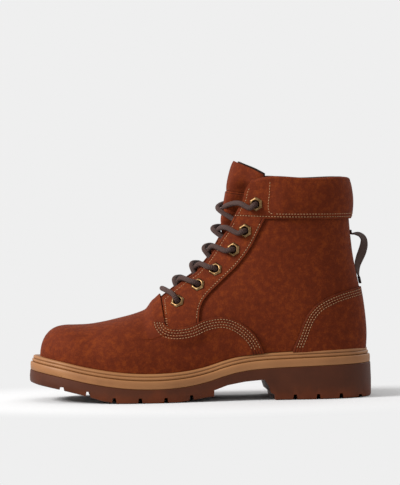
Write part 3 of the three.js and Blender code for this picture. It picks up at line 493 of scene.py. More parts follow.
outsole = loft("lugged_outsole", [
    sole_ring(2.6, lambda x: tread(x)),
    sole_ring(0.9, lambda x: tread(x) + 0.5),
    sole_ring(0.25, lambda x: tread(x) + 1.6),
    sole_ring(0.1, lambda x: (tread(x) + outsole_top(x)) / 2),
    sole_ring(0.6, lambda x: outsole_top(x) - 0.5),
    sole_ring(1.2, outsole_top),
])
cut(outsole, side_cutter("arch", ARCH, -REACH, REACH))
for x in FOREFOOT_GROOVES + HEEL_GROOVES:
    ground = float(tread(x))
    depth = GROOVE_DEPTH * (SHALLOW if x in (FOREFOOT_GROOVES[0], HEEL_GROOVES[-1]) else 1)
    half = [(GROOVE / 2 + GROOVE_FLARE, -4), (GROOVE / 2, 0.6), (GROOVE / 3, depth)]
    outline = [(x - aside, ground + up) for aside, up in half] + [
        (x + aside, ground + up) for aside, up in half[::-1]
    ]
    cut(outsole, side_cutter("groove", outline[::-1], -REACH, REACH))
for low, high in CHANNEL_SPANS:
    for stations in (range(STATIONS + 1), [0, *range(2 * STATIONS - 1, STATIONS - 1, -1)]):
        kept = [k for k in stations if low < edge_ring[k, 0] < high]
        section_rings = [sole_ring(inset, lambda x, d=depth: tread(x) + d)[kept] for inset, depth in CHANNEL]
        count = len(kept)
        points = np.vstack(section_rings)
        faces = [(r * count + k, r * count + k + 1, (r + 1) % 4 * count + k + 1, (r + 1) % 4 * count + k)
                 for r in range(4) for k in range(count - 1)]
        faces += [(0, count, 2 * count, 3 * count), (4 * count - 1, 3 * count - 1, 2 * count - 1, count - 1)]
        channel = mesh_piece("channel", points, faces)
        face_outward(channel)
        cut(outsole, channel)


# Moulded rubber compound: satin brown with a fine matt spark-eroded texture, lighter towards the tread.
def moulded_rubber():
    made, tree, shader, where = material("moulded_brown_rubber")
    broad = add(tree, "TexNoise", {"Scale": 55.0, "Detail": 3.0}, {"Vector": where["Object"]})
    height = add(tree, "SeparateXYZ", links={0: where["Object"]})
    # The colour grows lighter over the lowest 16 mm.
    low = add(
        tree, "MapRange", {"From Min": 0.0, "From Max": 0.016, "To Min": 0.32, "To Max": 0.0},
        {"Value": height.outputs["Z"]}
    )
    both = maths(tree, "MULTIPLY_ADD", broad, 0.5, low)
    colour = ramp(tree, both, [(0.1, "#391807"), (0.35, "#441e0a"), (0.62, "#5c270b")])
    tree.links.new(colour, shader.inputs["Base Color"])
    grain = add(tree, "TexNoise", {"Scale": 1400.0, "Detail": 2.0}, {"Vector": where["Object"]})
    bump = add(tree, "Bump", {"Strength": 0.35, "Distance": 0.0002}, {"Height": grain})
    tree.links.new(bump.outputs[0], shader.inputs["Normal"])
    shader.inputs["Roughness"].default_value = 0.55
    shader.inputs["Specular IOR Level"].default_value = 0.18
    return made


def finish_piece(piece, stuff, body, slot, *nodes, angle=35):
    """Shades a finished mesh, gives it its material and ties it to its body and CAD nodes. Its slot is not used."""
    bpy.ops.object.select_all(action="DESELECT")
    bpy.context.view_layer.objects.active = piece
    piece.select_set(True)
    bpy.ops.object.shade_smooth_by_angle(angle=math.radians(angle))
    piece.select_set(False)
    piece.data.materials.clear()
    piece.data.materials.append(stuff)
    if body:
        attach(piece, body)
    if nodes:
        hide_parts(*nodes)
    return piece


finish_piece(outsole, moulded_rubber(), "boot", "outsole_rubber", "outsole")


# ---------------------------------------------------------------- midsole and welt
# One tan rubber unit: a deep plain band with a crisp upper lip, and above it two rounded beads set further in.
def tan_rubber():
    """Injection-moulded tan rubber: low gloss, clean and even, with painted shade in the creases between its beads.
    """
    made, tree, shader, where = material("moulded_tan_rubber")
    broad = add(tree, "TexNoise", {"Scale": 30.0, "Detail": 3.0}, {"Vector": where["Object"]})
    # Painted shade: low pointiness darkens the creases between the beads.
    crease = add(tree, "NewGeometry")
    both = maths(tree, "MULTIPLY_ADD", broad, 0.25, crease.outputs["Pointiness"])
    colour = ramp(tree, both, [(0.52, "#523219"), (0.62, "#7f5431"), (0.75, "#8f633c")])
    tree.links.new(colour, shader.inputs["Base Color"])
    grain = add(tree, "TexNoise", {"Scale": 1600.0, "Detail": 2.0}, {"Vector": where["Object"]})
    bump = add(tree, "Bump", {"Strength": 0.2, "Distance": 0.0002}, {"Height": grain})
    tree.links.new(bump.outputs[0], shader.inputs["Normal"])
    shader.inputs["Roughness"].default_value = 0.5
    shader.inputs["Specular IOR Level"].default_value = 0.25
    return made


tan = tan_rubber()
midsole = loft("midsole_band", [
    sole_ring(1.6, lambda x: outsole_top(x) + 0.05),
    sole_ring(0.95, lambda x: outsole_top(x) + 0.5),
    sole_ring(0.85, lambda x: outsole_top(x) + BAND * 0.5),
    sole_ring(0.95, lambda x: outsole_top(x) + BAND - 1.3),
    sole_ring(1.25, lambda x: outsole_top(x) + BAND - 0.5),
    sole_ring(1.9, lambda x: outsole_top(x) + BAND),
    sole_ring(4.0, lambda x: outsole_top(x) + BAND + 0.02),
])
finish_piece(midsole, tan, "boot", "tan_sole", "midsole", angle=50)

BEADS = [
    (3.4, 0.1), (2.6, 1.0), (2.4, 1.9), (2.8, 2.8), (3.9, 3.3), (3.6, 3.9), (3.5, 4.7), (3.9, 5.5), (4.9, 6.1),
    (6.0, 6.3)
]
WELT_INNER = 13.0
rings = [sole_ring(inset, lambda x, r=rise: outsole_top(x) + BAND + r) for inset, rise in BEADS]
rings += [sole_ring(WELT_INNER, welt_top), sole_ring(WELT_INNER, lambda x: outsole_top(x) + BAND + 0.3)]
welt = loft("beaded_welt", rings, closed=True)
finish_piece(welt, tan, "boot", "tan_sole", "welt", angle=50)

# ---------------------------------------------------------------- vamp
# One piece of thick oiled nubuck over the toes and instep, lasted over a rounded toe. Its curved rear edge lies on
# the quarters and on the foot of the eyestays, and four close rows of stitching hold it there.
FAN = (-150.0, 232.0)
FOOT_INSET = 7
RIDGE = [
    (-145.3, 31.7), (-145.3, 41.7), (-144.9, 46), (-143.3, 52.6), (-140.4, 58.4), (-135.7, 63.5), (-129.9, 66.6),
    (-122.8, 68), (-113.6, 68.2), (-102.1, 68.6), (-90.5, 70.2), (-74.4, 73.7), (-60, 77.4), (-49.5, 81.4),
    (-41, 87.2), (-33.5, 93.8), (-22.5, 103.3), (-12, 112.4), (0.8, 123.8), (10.1, 138.5), (16.6, 153.9),
    (20, 168.3), (23.4, 187), (27, 203.3), (31, 216), (36, 226.5),
]
UNDERSIDE = [
    (-145.3, 31.7), (-140, 29.8), (-128, 27.2), (-105, 22.1), (-82, 18.3), (-60, 16.3), (-35, 16.1), (-13, 18.1),
    (4, 21.7), (18, 26), (31, 29.2), (47, 31.4), (80, 33), (135, 34), (145.5, 34.8), (148.2, 39), (149, 46),
    (149.5, 57.5), (148.8, 70), (147, 85.6), (144.6, 100), (142, 113), (139.4, 127), (137.6, 142), (136.4, 155),
    (135.4, 170), (135.4, 185), (136, 200), (137, 226.5),
]
HALF_WIDTHS = {
    -1: [(12, 41.5), (20, 48.5), (25.6, 49), (31, 46.5), (35, 43.5), (40, 40), (47, 38), (54, 37), (60, 36.5),
         (69, 37), (75, 39), (81, 41), (90, 42)],
    1: [(12, 46), (20, 47.5), (25.6, 45), (31, 41.5), (35, 39), (40, 37), (47, 37), (54, 37), (60, 36.5),
        (69, 37), (75, 39), (81, 41), (90, 42)],
}
SQUARENESS = [(0, 2.45), (25, 2.4), (36, 2.1), (50, 2.1), (90, 2.2)]
TOE_LEAN = 5
VAMP_EDGE = [
    (-34.5, 110), (-34.5, 72), (-33, 66.5), (-25.5, 64.8), (-11.8, 66.8), (1, 72.4), (16, 75), (26.5, 73),
    (37, 67.3), (47, 57.5), (54.4, 42), (57, 20),
]
LEATHER = 1.8
SEAM_ROW = 2.3


def polar(points):
    """Points seen from the side as an angle and a distance from the fan's pivot above the toe."""
    p = np.asarray(points, float)
    across, up = p[..., 0] - FAN[0], FAN[1] - p[..., 1]
    return np.arctan2(across, up), np.hypot(across, up)


ridge_angle, ridge_radius = polar(smooth(RIDGE, 900))
under_angle, under_radius = polar(smooth(UNDERSIDE, 900))
width_lines = {which: smooth(pairs, 300) for which, pairs in HALF_WIDTHS.items()}
square_line = smooth(SQUARENESS, 300)
foot_ring = (edge_ring - edge_out * FOOT_INSET)
foot_lines = {-1: foot_ring[: STATIONS + 1], 1: np.vstack([foot_ring[:1], foot_ring[STATIONS:][::-1]])}


def step(x, low, high):
    """A smooth rise from 0 at low to 1 at high."""
    s = np.clip((x - low) / (high - low), 0, 1)
    return s * s * (3 - 2 * s)


def section(angle, which):
    """The upper's section at an angle from the toe: its front and lower radii, half width and shape on one side."""
    degrees = np.degrees(angle)
    near = np.interp(angle, ridge_angle, ridge_radius)
    far = np.interp(angle, under_angle, under_radius)
    end_x, end_z = FAN[0] + np.sin(angle) * far, FAN[1] - np.cos(angle) * far
    power = 2 / np.interp(degrees, square_line[:, 0], square_line[:, 1])
    middle = TOE_LEAN * (1 - step(end_x, -150, -50))
    open_below = np.where(end_x > 0, 1 - step(end_z, 34.5, 44), 1)
    share = np.clip((end_x - RIDGE[0][0]) / (149 - RIDGE[0][0]), 0, 1)

    def foot(k):
        line = foot_lines[k]
        at = line[0, 0] + share * (line[-1, 0] - line[0, 0])
        return open_below * np.abs(np.interp(at, line[:, 0], line[:, 1]) - middle)

    def width(k):
        line = width_lines[k]
        blend = step(degrees, 9, 19)
        f = foot(k)
        plain = np.interp(degrees, line[:, 0], line[:, 1])
        return f, np.maximum(np.maximum(f * 1.005, f * 1.03 * (1 - blend) + plain * blend), 0.05)

    (f0, w0), (f1, w1) = width(-1), width(1)
    f, wide = np.where(which < 0, f0, f1), np.where(which < 0, w0, w1)
    last = np.pi - np.arcsin(np.minimum(1, (f / wide) ** (1 / power)))
    eased = 0.64 - 0.14 * step(degrees, 44, 62)
    own = 1 / spread(last, power)
    widest = own + (eased - own) * step(degrees, 42, 48)
    return near, far, power, middle, wide, last, widest, f0 + f1 < 0.5


def spread(a, power):
    """How far down its section a point at turn a lies, from 0 at the ridge to 1 at the widest place."""
    return 1 - np.sign(np.cos(a)) * np.abs(np.cos(a)) ** power


def surface(angle, turn):
    """A point of the upper. turn runs from 0 on the front ridge to -1 (outer side) or 1 (inner side) at its end."""
    angle, turn = np.broadcast_arrays(np.asarray(angle, float), np.asarray(turn, float))
    closed = section(angle, turn)[-1]
    turn = np.where(closed & (np.abs(turn) > 1), turn - 2 * np.sign(turn), turn)
    turn = np.clip(turn, -1, 1)
    near, far, power, middle, wide, last, widest, closed = section(angle, turn)
    a = np.abs(turn) * last
    part = spread(a, power)
    below = widest + (1 - widest) * (part - 1) / (spread(last, power) - 1)
    r = near + (far - near) * np.where(part < 1, widest * part, below)
    y = middle + np.sign(turn) * wide * np.abs(np.sin(a)) ** power
    return np.stack([FAN[0] + np.sin(angle) * r, y, FAN[1] - np.cos(angle) * r], axis=-1)


def outward(angle, turn):
    """The direction out of the boot at that point."""
    angle, turn = np.broadcast_arrays(np.asarray(angle, float), np.asarray(turn, float))
    da, dt = math.radians(0.2), 0.02
    along = surface(angle + da, turn) - surface(angle - da, turn)
    across = surface(angle, turn + dt) - surface(angle, turn - dt)
    n = unit(np.cross(along, across))
    near, far, power, middle, wide, last, widest, closed = section(angle, turn)
    r = (near + far) / 2
    core = np.stack([FAN[0] + np.sin(angle) * r, middle, FAN[1] - np.cos(angle) * r], axis=-1)
    flip = np.sum(n * (surface(angle, turn) - core), axis=-1) < 0
    n[flip] *= -1
    back = (np.abs(turn) > 0.999) & (np.abs(turn) < 1.001) & closed
    n[back, 1] = 0
    return unit(n)


def place_of(points, which):
    """Where points seen from the side lie on the upper, as angles and turns."""
    angle, r = polar(points)
    side_of = np.full(angle.shape, which)
    near, far, power, middle, wide, last, widest, closed = section(angle, side_of)
    down = np.clip((r - near) / (far - near), 0, 1)
    low = -(down - widest) / (1 - widest) * (spread(last, power) - 1)
    q = np.where(down < widest, 1 - down / widest, low)
    a = np.arccos(np.clip(np.sign(q) * np.abs(q) ** (1 / power), -1, 1))
    return angle, which * a / last


def solve(inside, low, high, rounds=26):
    """The value between low and high up to which inside(value) holds, elementwise."""
    low, high = np.array(low, float), np.array(high, float)
    for _ in range(rounds):
        middle = (low + high) / 2
        held = inside(middle)
        low, high = np.where(held, middle, low), np.where(held, high, middle)
    return (low + high) / 2


# How far round each section reaches before it meets the welt.
seat_angles = np.radians(np.concatenate([np.linspace(1.41, 3, 60), np.linspace(3.1, 88, 600)]))


def seat_turns(which):
    """How far round one side goes before it meets the welt."""
    def above(t):
        p = surface(seat_angles, which * t)
        return p[:, 2] > welt_top(p[:, 0]) + 0.1
    return solve(above, np.zeros(len(seat_angles)), np.ones(len(seat_angles)))


seat_lines = {which: seat_turns(which) for which in (-1, 1)}


def seat(angle, which):
    return np.where(
        which < 0, np.interp(angle, seat_angles, seat_lines[-1]), np.interp(angle, seat_angles, seat_lines[1])
    )


def edge_by_turn(points, which):
    """A panel edge seen from the side as angles at rising turns."""
    angle, turn = place_of(points, which)
    turn = np.abs(turn)
    kept = [0]
    for i in range(1, len(turn)):
        if turn[i] > turn[kept[-1]] + 1e-4:
            kept.append(i)
    return turn[kept], angle[kept]


vamp_curve = smooth(VAMP_EDGE, 300)
on_ridge = np.interp(-34.5, smooth(RIDGE, 900)[:, 0], smooth(RIDGE, 900)[:, 1])
vamp_curve = np.vstack([[(-34.5, on_ridge)], vamp_curve[vamp_curve[:, 1] < on_ridge]])
vamp_edges = {which: edge_by_turn(vamp_curve, which) for which in (-1, 1)}


def vamp_angle(turn):
    """The vamp's rear edge."""
    t = np.abs(turn)
    return np.where(turn < 0, np.interp(t, *vamp_edges[-1]), np.interp(t, *vamp_edges[1]))


def fill_panel(column, columns, rows, low, high):
    """A grid of places. column(angle, u) is a column's turn at an angle. low and high say whether a place is still
    below the panel's lower and upper edges."""
    start = np.full(len(columns), math.radians(28.0))
    top = np.full(len(columns), math.radians(88.0))
    bottom = solve(lambda a: low(a, column(a, columns)), start, top)
    above = solve(lambda a: high(a, column(a, columns)), start, top)
    angle = bottom + np.asarray(rows)[:, None] * (above - bottom)
    return angle, column(angle, columns)


def lay(name, angle, turn, lift, rows=None, thickness=LEATHER, cull=None, round_edge=0.45):
    """A panel on the upper: a grid of places, how high its face lies there, and its thickness.

    rows counts the distance in from the panel's edge in rows of stitches, the last row being number four.
    """
    points = surface(angle, turn) + outward(angle, turn) * np.asarray(lift)[..., None]
    high, wide = angle.shape
    index = np.arange(high * wide).reshape(high, wide)
    quads = np.stack([index[:-1, :-1], index[:-1, 1:], index[1:, 1:], index[1:, :-1]], axis=-1).reshape(-1, 4)
    flat = points.reshape(-1, 3)
    if cull is not None:
        quads = quads[~cull(flat)[quads].all(axis=1)]
    piece = mesh_piece(name, flat * MM, quads.tolist())
    counted = piece.data.attributes.new("rows_in", "FLOAT", "POINT")
    counted.data.foreach_set("value", np.full(len(flat), 9.0) if rows is None else np.minimum(rows, 9).ravel())
    bpy.ops.object.select_all(action="DESELECT")
    bpy.context.view_layer.objects.active = piece
    piece.select_set(True)
    bpy.ops.object.mode_set(mode="EDIT")
    bpy.ops.mesh.select_all(action="SELECT")
    bpy.ops.mesh.remove_doubles(threshold=0.00002)
    bpy.ops.mesh.delete_loose()
    bpy.ops.object.mode_set(mode="OBJECT")
    middle = surface(angle, turn)[high // 2, wide // 2]
    nearest = min(piece.data.polygons, key=lambda f: (f.center / MM - Vector(middle)).length)
    if nearest.normal.dot(Vector(outward(angle, turn)[high // 2, wide // 2])) < 0:
        piece.data.flip_normals()
    solid = piece.modifiers.new("thickness", "SOLIDIFY")
    solid.thickness = thickness * MM
    solid.offset = -1
    solid.use_even_offset = False
    if round_edge:
        rounded = piece.modifiers.new("cut_edge", "BEVEL")
        rounded.width = round_edge * MM
        rounded.segments = 2
        rounded.limit_method = "ANGLE"
        rounded.angle_limit = math.radians(55)
        rounded.use_clamp_overlap = True
    apply_all(piece)
    return piece


def away_from(line):
    """A function giving the distance of points from a line, in millimetres."""
    tree = KDTree(len(line))
    for i, p in enumerate(line):
        tree.insert(p, i)
    tree.balance()

    def measure(points):
        flat = points.reshape(-1, 3)
        return np.array([tree.find(p)[2] for p in flat]).reshape(points.shape[:-1])
    return measure


def on_upper(points, which):
    """A line seen from the side, laid on one side of the upper."""
    line = even(smooth(points, 300), 0.5)
    angle, turn = place_of(line, which)
    return surface(angle, turn)


# Oiled nubuck: reddish-brown full-grain leather buffed to a short nap. The colour shifts in soft patches where the
# oils moved, with fine pores and faint creases, and painted shade darkens it along cut edges and in its stitch
# grooves.
def nubuck():
    made, tree, shader, where = material("oiled_nubuck")
    spot = where["Object"]
    patches = add(tree, "TexNoise", {"Scale": 22.0, "Detail": 4.0, "Roughness": 0.6}, {"Vector": spot})
    cloud = add(tree, "TexNoise", {"Scale": 190.0, "Detail": 6.0, "Roughness": 0.7}, {"Vector": spot})
    nap = add(tree, "TexNoise", {"Scale": 900.0, "Detail": 3.0}, {"Vector": spot})
    clouds = maths(tree, "MULTIPLY_ADD", patches, 0.3, cloud)
    shade_at = maths(tree, "MULTIPLY_ADD", nap, 0.35, clouds)
    base = ramp(tree, shade_at, [(0.45, "#401301"), (0.8, "#521b03"), (1.1, "#652806")])
    # Painted shade: rows_in darkens the base colour down to 0.62 along cut edges and in each stitch groove.
    rows = add(tree, "Attribute", {"attribute_name": "rows_in"})
    nearest = maths(tree, "PINGPONG", rows.outputs["Fac"], 0.5)
    groove = add(
        tree, "MapRange", {"interpolation_type": "SMOOTHSTEP", "From Min": 0.0, "From Max": 0.3}, {"Value": nearest}
    )
    plain = maths(tree, "GREATER_THAN", rows.outputs["Fac"], 4.5)
    height = maths(tree, "MAXIMUM", groove, plain)
    shade = add(tree, "MapRange", {"To Min": 0.62, "To Max": 1.0}, {"Value": height})
    colour = add(tree, "VectorMath", {"operation": "SCALE"}, {0: base, "Scale": shade})
    tree.links.new(colour.outputs[0], shader.inputs["Base Color"])
    crease = add(
        tree, "TexNoise", {"Scale": 260.0, "Detail": 6.0, "Roughness": 0.7, "Distortion": 0.6}, {"Vector": spot}
    )
    grain = maths(tree, "MULTIPLY_ADD", crease, 0.35, nap)
    fine = add(tree, "Bump", {"Strength": 0.7, "Distance": 0.0005}, {"Height": grain})
    sunk = add(tree, "Bump", {"Strength": 1.0, "Distance": 0.0005}, {"Height": height, "Normal": fine})
    tree.links.new(sunk.outputs[0], shader.inputs["Normal"])
    shader.inputs["Roughness"].default_value = 0.82
    shader.inputs["Specular IOR Level"].default_value = 0.12
    shader.inputs["Sheen Weight"].default_value = 0.06
    shader.inputs["Sheen Roughness"].default_value = 0.5
    shader.inputs["Sheen Tint"].default_value = linear("#c0683c")
    return made


leather = nubuck()

START = math.radians(1.42)
columns = np.linspace(-1, 1, 161)
rear = solve(
    lambda a: a < vamp_angle(columns * seat(a, columns)), np.full(161, math.radians(28)),
    np.full(161, math.radians(60))
)
angle = START + (np.linspace(0, 1, 231) ** 1.8)[:, None] * (rear - START)
turn = columns * seat(angle, columns)
vamp_line = np.vstack([on_upper(vamp_curve, which) for which in (-1, 1)])
inward = away_from(vamp_line)(surface(angle, turn))
x_there = surface(angle, turn)[..., 0]
stack = 1.75 + 1.6 * (1 - step(x_there, -6, 5))
vamp_lift = stack * (1 - step(inward, 8, 20))
seen = surface(angle, turn)
unsewn = (seen[..., 0] < -34) & (seen[..., 2] > 69.5)
vamp = lay("vamp_leather", angle, turn, vamp_lift, np.where(unsewn, 9, inward / SEAM_ROW), thickness=1.7)
finish_piece(vamp, leather, "boot", "leather", "vamp", angle=60)

# ---------------------------------------------------------------- quarters
# Two side panels of the same leather, from under the vamp's edge to the collar, meeting at the back.
FACING_EDGE = [
    (-33.8, 91.5), (-23.5, 99.4), (-13.5, 107), (-3, 114.2), (4.9, 122.2), (11.5, 131), (19, 143.5), (25.4, 153.3),
    (30, 163), (34.4, 172.1), (38.1, 179.3), (40, 187.3), (42.8, 192.7), (47.7, 197.5),
]
COLLAR_TOP = [(47.7, 197.5), (54, 199.4), (63.2, 200.3), (95, 198.3), (134.6, 198.4), (139, 196)]
EYELETS = [(-21.5, 88.2), (-3, 102.9), (13.1, 116.6), (29.4, 134.7), (39.8, 151.7), (49.2, 175.6)]
EYELET_BORE = 3.2
UNDER_COLLAR = 2.6  # the quarters stop this far below the collar's top
UNDER_VAMP = 7  # and reach this far under the vamp
facing_angles, facing_turns = place_of(smooth(FACING_EDGE, 60), 1)
collar_top_line = smooth(COLLAR_TOP, 60)


def facing_turn(angle):
    return np.interp(angle, facing_angles, facing_turns)


def collar_top(x):
    return np.interp(x, collar_top_line[:, 0], collar_top_line[:, 1])


eyelet_spots = {which: place_of(EYELETS, which) for which in (-1, 1)}
eyelet_centres = {which: surface(*eyelet_spots[which]) for which in (-1, 1)}
eyelet_out = {which: outward(*eyelet_spots[which]) for which in (-1, 1)}


def in_a_hole(points):
    """Whether points lie in one of the punched holes."""
    found = np.zeros(len(points), bool)
    for which in (-1, 1):
        for centre, axis in zip(eyelet_centres[which], eyelet_out[which]):
            away = points - centre
            along = away @ axis
            off = np.linalg.norm(away - along[:, None] * axis, axis=1)
            found |= (off < EYELET_BORE + 1.2) & (np.abs(along) < 12)
    return found


def below_height(height):
    """Whether places lie below a height given along the boot."""
    def below(angle, turn):
        p = surface(angle, turn)
        return p[..., 2] < height(p[..., 0])
    return below


back_line = smooth(UNDERSIDE, 900)
back_line = back_line[(back_line[:, 0] > 100) & (back_line[:, 1] > 38)]
facing_line = smooth(FACING_EDGE, 200)
vamp_over = vamp_curve[np.argsort(vamp_curve[:, 0])]


def back_x(z):
    return np.interp(z, back_line[:, 1], back_line[:, 0])


for side_name, which in SIDES.items():
    share, across = np.meshgrid(np.linspace(0, 1, 131), np.linspace(0, 1, 121), indexing="ij")
    x = 20 + 110 * across
    for _ in range(12):
        z = welt_top(x) + 0.1 + share * (collar_top(x) - UNDER_COLLAR - welt_top(x))
        front = np.interp(z, facing_line[:, 1], facing_line[:, 0])
        x = front + (1 - (1 - across) ** 1.6) * (back_x(z) - front)
    angle, turn = place_of(np.stack([x, z], -1), which)
    hidden = z < np.interp(x, vamp_over[:, 0], vamp_over[:, 1], right=0) - UNDER_VAMP
    piece = lay(f"quarter_leather_{side_name}", angle, turn, np.zeros(turn.shape),
                cull=lambda flat: in_a_hole(flat) | hidden.ravel())
    finish_piece(piece, leather, "boot", "leather", f"quarter_{side_name}", angle=60)

# ---------------------------------------------------------------- eyestays
# A second layer on each side of the opening carries the five lower eyelets. Its foot goes under the vamp, and its
# rear edge and front edge each have one row of stitching.
EYESTAY_BACK = [(-3.3, 60), (-3.3, 74), (-1.6, 83), (3, 91.4), (16.4, 104.7), (32.5, 120.4), (44.1, 136.2),
                (51.1, 149.8), (55.9, 160), (58.5, 166)]
COLLAR_BOTTOM = [(24, 163.5), (62.5, 162), (94, 161.4), (150, 160.6)]
collar_bottom_line = smooth(COLLAR_BOTTOM, 60)
throat = np.array([(-37, 232 - 118 / math.tan(math.radians(d))) for d in np.linspace(34.8, 39.5, 20)])
OVERLAY_LIFT = 1.75
eyestays = {}


def collar_bottom(x):
    return np.interp(x, collar_bottom_line[:, 0], collar_bottom_line[:, 1])


for side_name, which in SIDES.items():
    back_angle, back_turn = place_of(smooth(EYESTAY_BACK, 120), which)
    throat_angle, throat_turn = place_of(throat, which)
    front_angle = np.concatenate([throat_angle, facing_angles[facing_angles > throat_angle[-1] + 0.01]])
    front_turn = np.concatenate([np.abs(throat_turn), facing_turns[facing_angles > throat_angle[-1] + 0.01]])

    def eyestay_column(angle, u, which=which):
        front = np.interp(angle, front_angle, front_turn)
        return which * (front + u * (np.interp(angle, back_angle, np.abs(back_turn)) - front))
    angle, turn = fill_panel(
        eyestay_column, np.linspace(0, 1, 34), np.linspace(0, 1, 131),
        lambda a, t: a < math.radians(34.9), below_height(lambda x: collar_bottom(x) + 1.0),
    )
    inward = away_from(even(surface(angle[:, 0], turn[:, 0]), 0.5))(surface(angle, turn))
    inward = np.minimum(inward, away_from(even(surface(angle[:, -1], turn[:, -1]), 0.5))(surface(angle, turn)))
    piece = lay(f"eyestay_leather_{side_name}", angle, turn, np.full(turn.shape, OVERLAY_LIFT), inward / SEAM_ROW + 3,
                thickness=1.6, cull=in_a_hole)
    eyestays[side_name] = finish_piece(piece, leather, "boot", "leather", f"eyestay_{side_name}", angle=60)

    # The facings are backed with a thin leather lining.
    angle, turn = fill_panel(
        eyestay_column, np.linspace(0, 1, 24), np.linspace(0, 1, 91),
        lambda a, t: a < facing_angles[1], below_height(lambda x: collar_top(x) - 2.5),
    )
    piece = lay(f"facing_backing_{side_name}", angle, turn, np.full(turn.shape, -2.1), thickness=1.2, cull=in_a_hole)
    finish_piece(piece, leather, "boot", "leather", f"facing_lining_{side_name}", angle=60)

# ---------------------------------------------------------------- heel patch
# A counter pocket wraps the heel over both quarters, with three close rows of stitching along its swept edge.
HEEL_PATCH = [(80, 30), (80.2, 43), (85.8, 57.4), (90.1, 68.6), (94.6, 77), (101.5, 84.3), (110.8, 89.9),
              (124.5, 95.1), (150, 100.6)]
PATCH_FOOT = 42.4
PATCH_TOP = 98.8
patch_line = smooth(HEEL_PATCH, 200)
heights = np.concatenate([np.linspace(PATCH_FOOT, 80, 40), np.linspace(81, PATCH_TOP, 34)])
z, across = np.meshgrid(heights, 1 - (1 - np.linspace(0, 1, 61)) ** 1.7, indexing="ij")
line_x = np.interp(z, patch_line[:, 1], patch_line[:, 0])
seen = np.stack([line_x + across * (back_x(z) - line_x), z], -1)
angle, outer_turn = place_of(seen, -1)
inner_angle, inner_turn = place_of(seen, 1)
angle = np.hstack([angle, inner_angle[:, -2::-1]])
turn = np.hstack([outer_turn, inner_turn[:, -2::-1] - 2])
rim = np.vstack([surface(angle[:, 0], turn[:, 0]), surface(angle[-1], turn[-1]), surface(angle[:, -1], turn[:, -1])])
inward = away_from(rim)(surface(angle, turn))
patch = lay(
    "heel_patch_leather", angle, turn, np.full(turn.shape, OVERLAY_LIFT), inward / SEAM_ROW + 1, thickness=1.6
)
finish_piece(patch, leather, "boot", "leather", "heel_patch", angle=60)

# ---------------------------------------------------------------- collar
# A softly padded leather cuff. It runs from one facing round the back to the other, flat in front where the top
# eyelet goes through it, and it rolls over the top edge to meet the lining.
COLLAR_BULGE = 3.2
TAB_BACK = 60
RIM_DEPTH = 6.0
RIM_ROUND = 3.0
outer_rows = np.linspace(0, 1, 40)
rim_turns = np.linspace(0, math.pi / 2, 9)[1:]
columns = np.linspace(0, 1, 221)


def round_the_back(angle, u):
    """Turns from the outer facing round the back to the inner one."""
    front = facing_turn(angle)
    return -front + u * (-2 + 2 * front)


angle, turn = fill_panel(
    round_the_back, columns, outer_rows, below_height(collar_bottom),
    below_height(lambda x: collar_top(x) - RIM_ROUND),
)
share = np.broadcast_to(outer_rows[:, None], angle.shape)
x_there = surface(angle, turn)[..., 0]
padded_share = step(x_there, TAB_BACK - 2, TAB_BACK + 14)
swell = np.sin(np.pi * np.clip(share, 0, 1) ** 0.85) ** 0.75
lift = OVERLAY_LIFT + COLLAR_BULGE * padded_share * swell
top_angle, top_turn, top_lift = angle[-1], turn[-1], lift[-1]
radius = polar(surface(top_angle, top_turn)[:, [0, 2]])[1]
rim_angle = [top_angle + RIM_ROUND * math.sin(q) / radius for q in rim_turns]
rim_lift = [top_lift - RIM_DEPTH / 2 * (1 - math.cos(q)) for q in rim_turns]
angle = np.vstack([angle, rim_angle])
turn = np.vstack([turn, [top_turn] * len(rim_turns)])
lift = np.vstack([lift, rim_lift])
edge_line = surface(angle[0], turn[0])
inward = away_from(even(edge_line, 0.5))(surface(angle, turn))
collar = lay("padded_collar", angle, turn, lift, inward / SEAM_ROW + 3, thickness=1.5, cull=in_a_hole)
finish_piece(collar, leather, "boot", "leather", "collar_cover", "collar_padding", angle=70)


# ---------------------------------------------------------------- shaft lining
# A dark knitted moisture-wicking lining faces the insulation. It comes up to the collar's top edge and shows there
# as a narrow binding.
def knitted_lining():
    """Brushed polyester knit: dark brown, with rows of small loops about a millimetre apart."""
    made, tree, shader, where = material("knitted_lining")
    loops = add(tree, "TexVoronoi", {"Scale": 900.0}, {"Vector": where["Object"]})
    patches = add(tree, "TexNoise", {"Scale": 60.0, "Detail": 3.0}, {"Vector": where["Object"]})
    both = maths(tree, "MULTIPLY_ADD", loops, 0.5, patches)
    colour = ramp(tree, both, [(0.4, "#2f1c14"), (0.9, "#1b0f0a")])
    tree.links.new(colour, shader.inputs["Base Color"])
    bump = add(tree, "Bump", {"Strength": 0.6, "Distance": 0.0004, "invert": True}, {"Height": loops})
    tree.links.new(bump.outputs[0], shader.inputs["Normal"])
    shader.inputs["Roughness"].default_value = 0.95
    shader.inputs["Specular IOR Level"].default_value = 0.15
    shader.inputs["Sheen Weight"].default_value = 0.1
    shader.inputs["Sheen Tint"].default_value = linear("#8a6a58")
    return made


knit = knitted_lining()
LINING_LIFT = -4.9
back_angle, back_turn = place_of(smooth(EYESTAY_BACK, 120), 1)


def lining_column(angle, u):
    """Turns from behind the outer eyestay round the back to the inner one."""
    front = 0.95 * np.interp(angle, back_angle, back_turn)
    return -front + u * (-2 + 2 * front)


rows = np.linspace(0, 1, 91)
angle, turn = fill_panel(
    lining_column, np.linspace(0, 1, 181), rows,
    below_height(lambda x: np.full(x.shape, 62.0)), below_height(lambda x: collar_top(x) - 0.4),
)
share = np.broadcast_to(rows[:, None], angle.shape)
lining = lay("shaft_lining", angle, turn, LINING_LIFT + 2.0 * step(share, 0.97, 1.0), thickness=1.2)
finish_piece(lining, knit, "boot", "lining", "quarter_lining", angle=60)

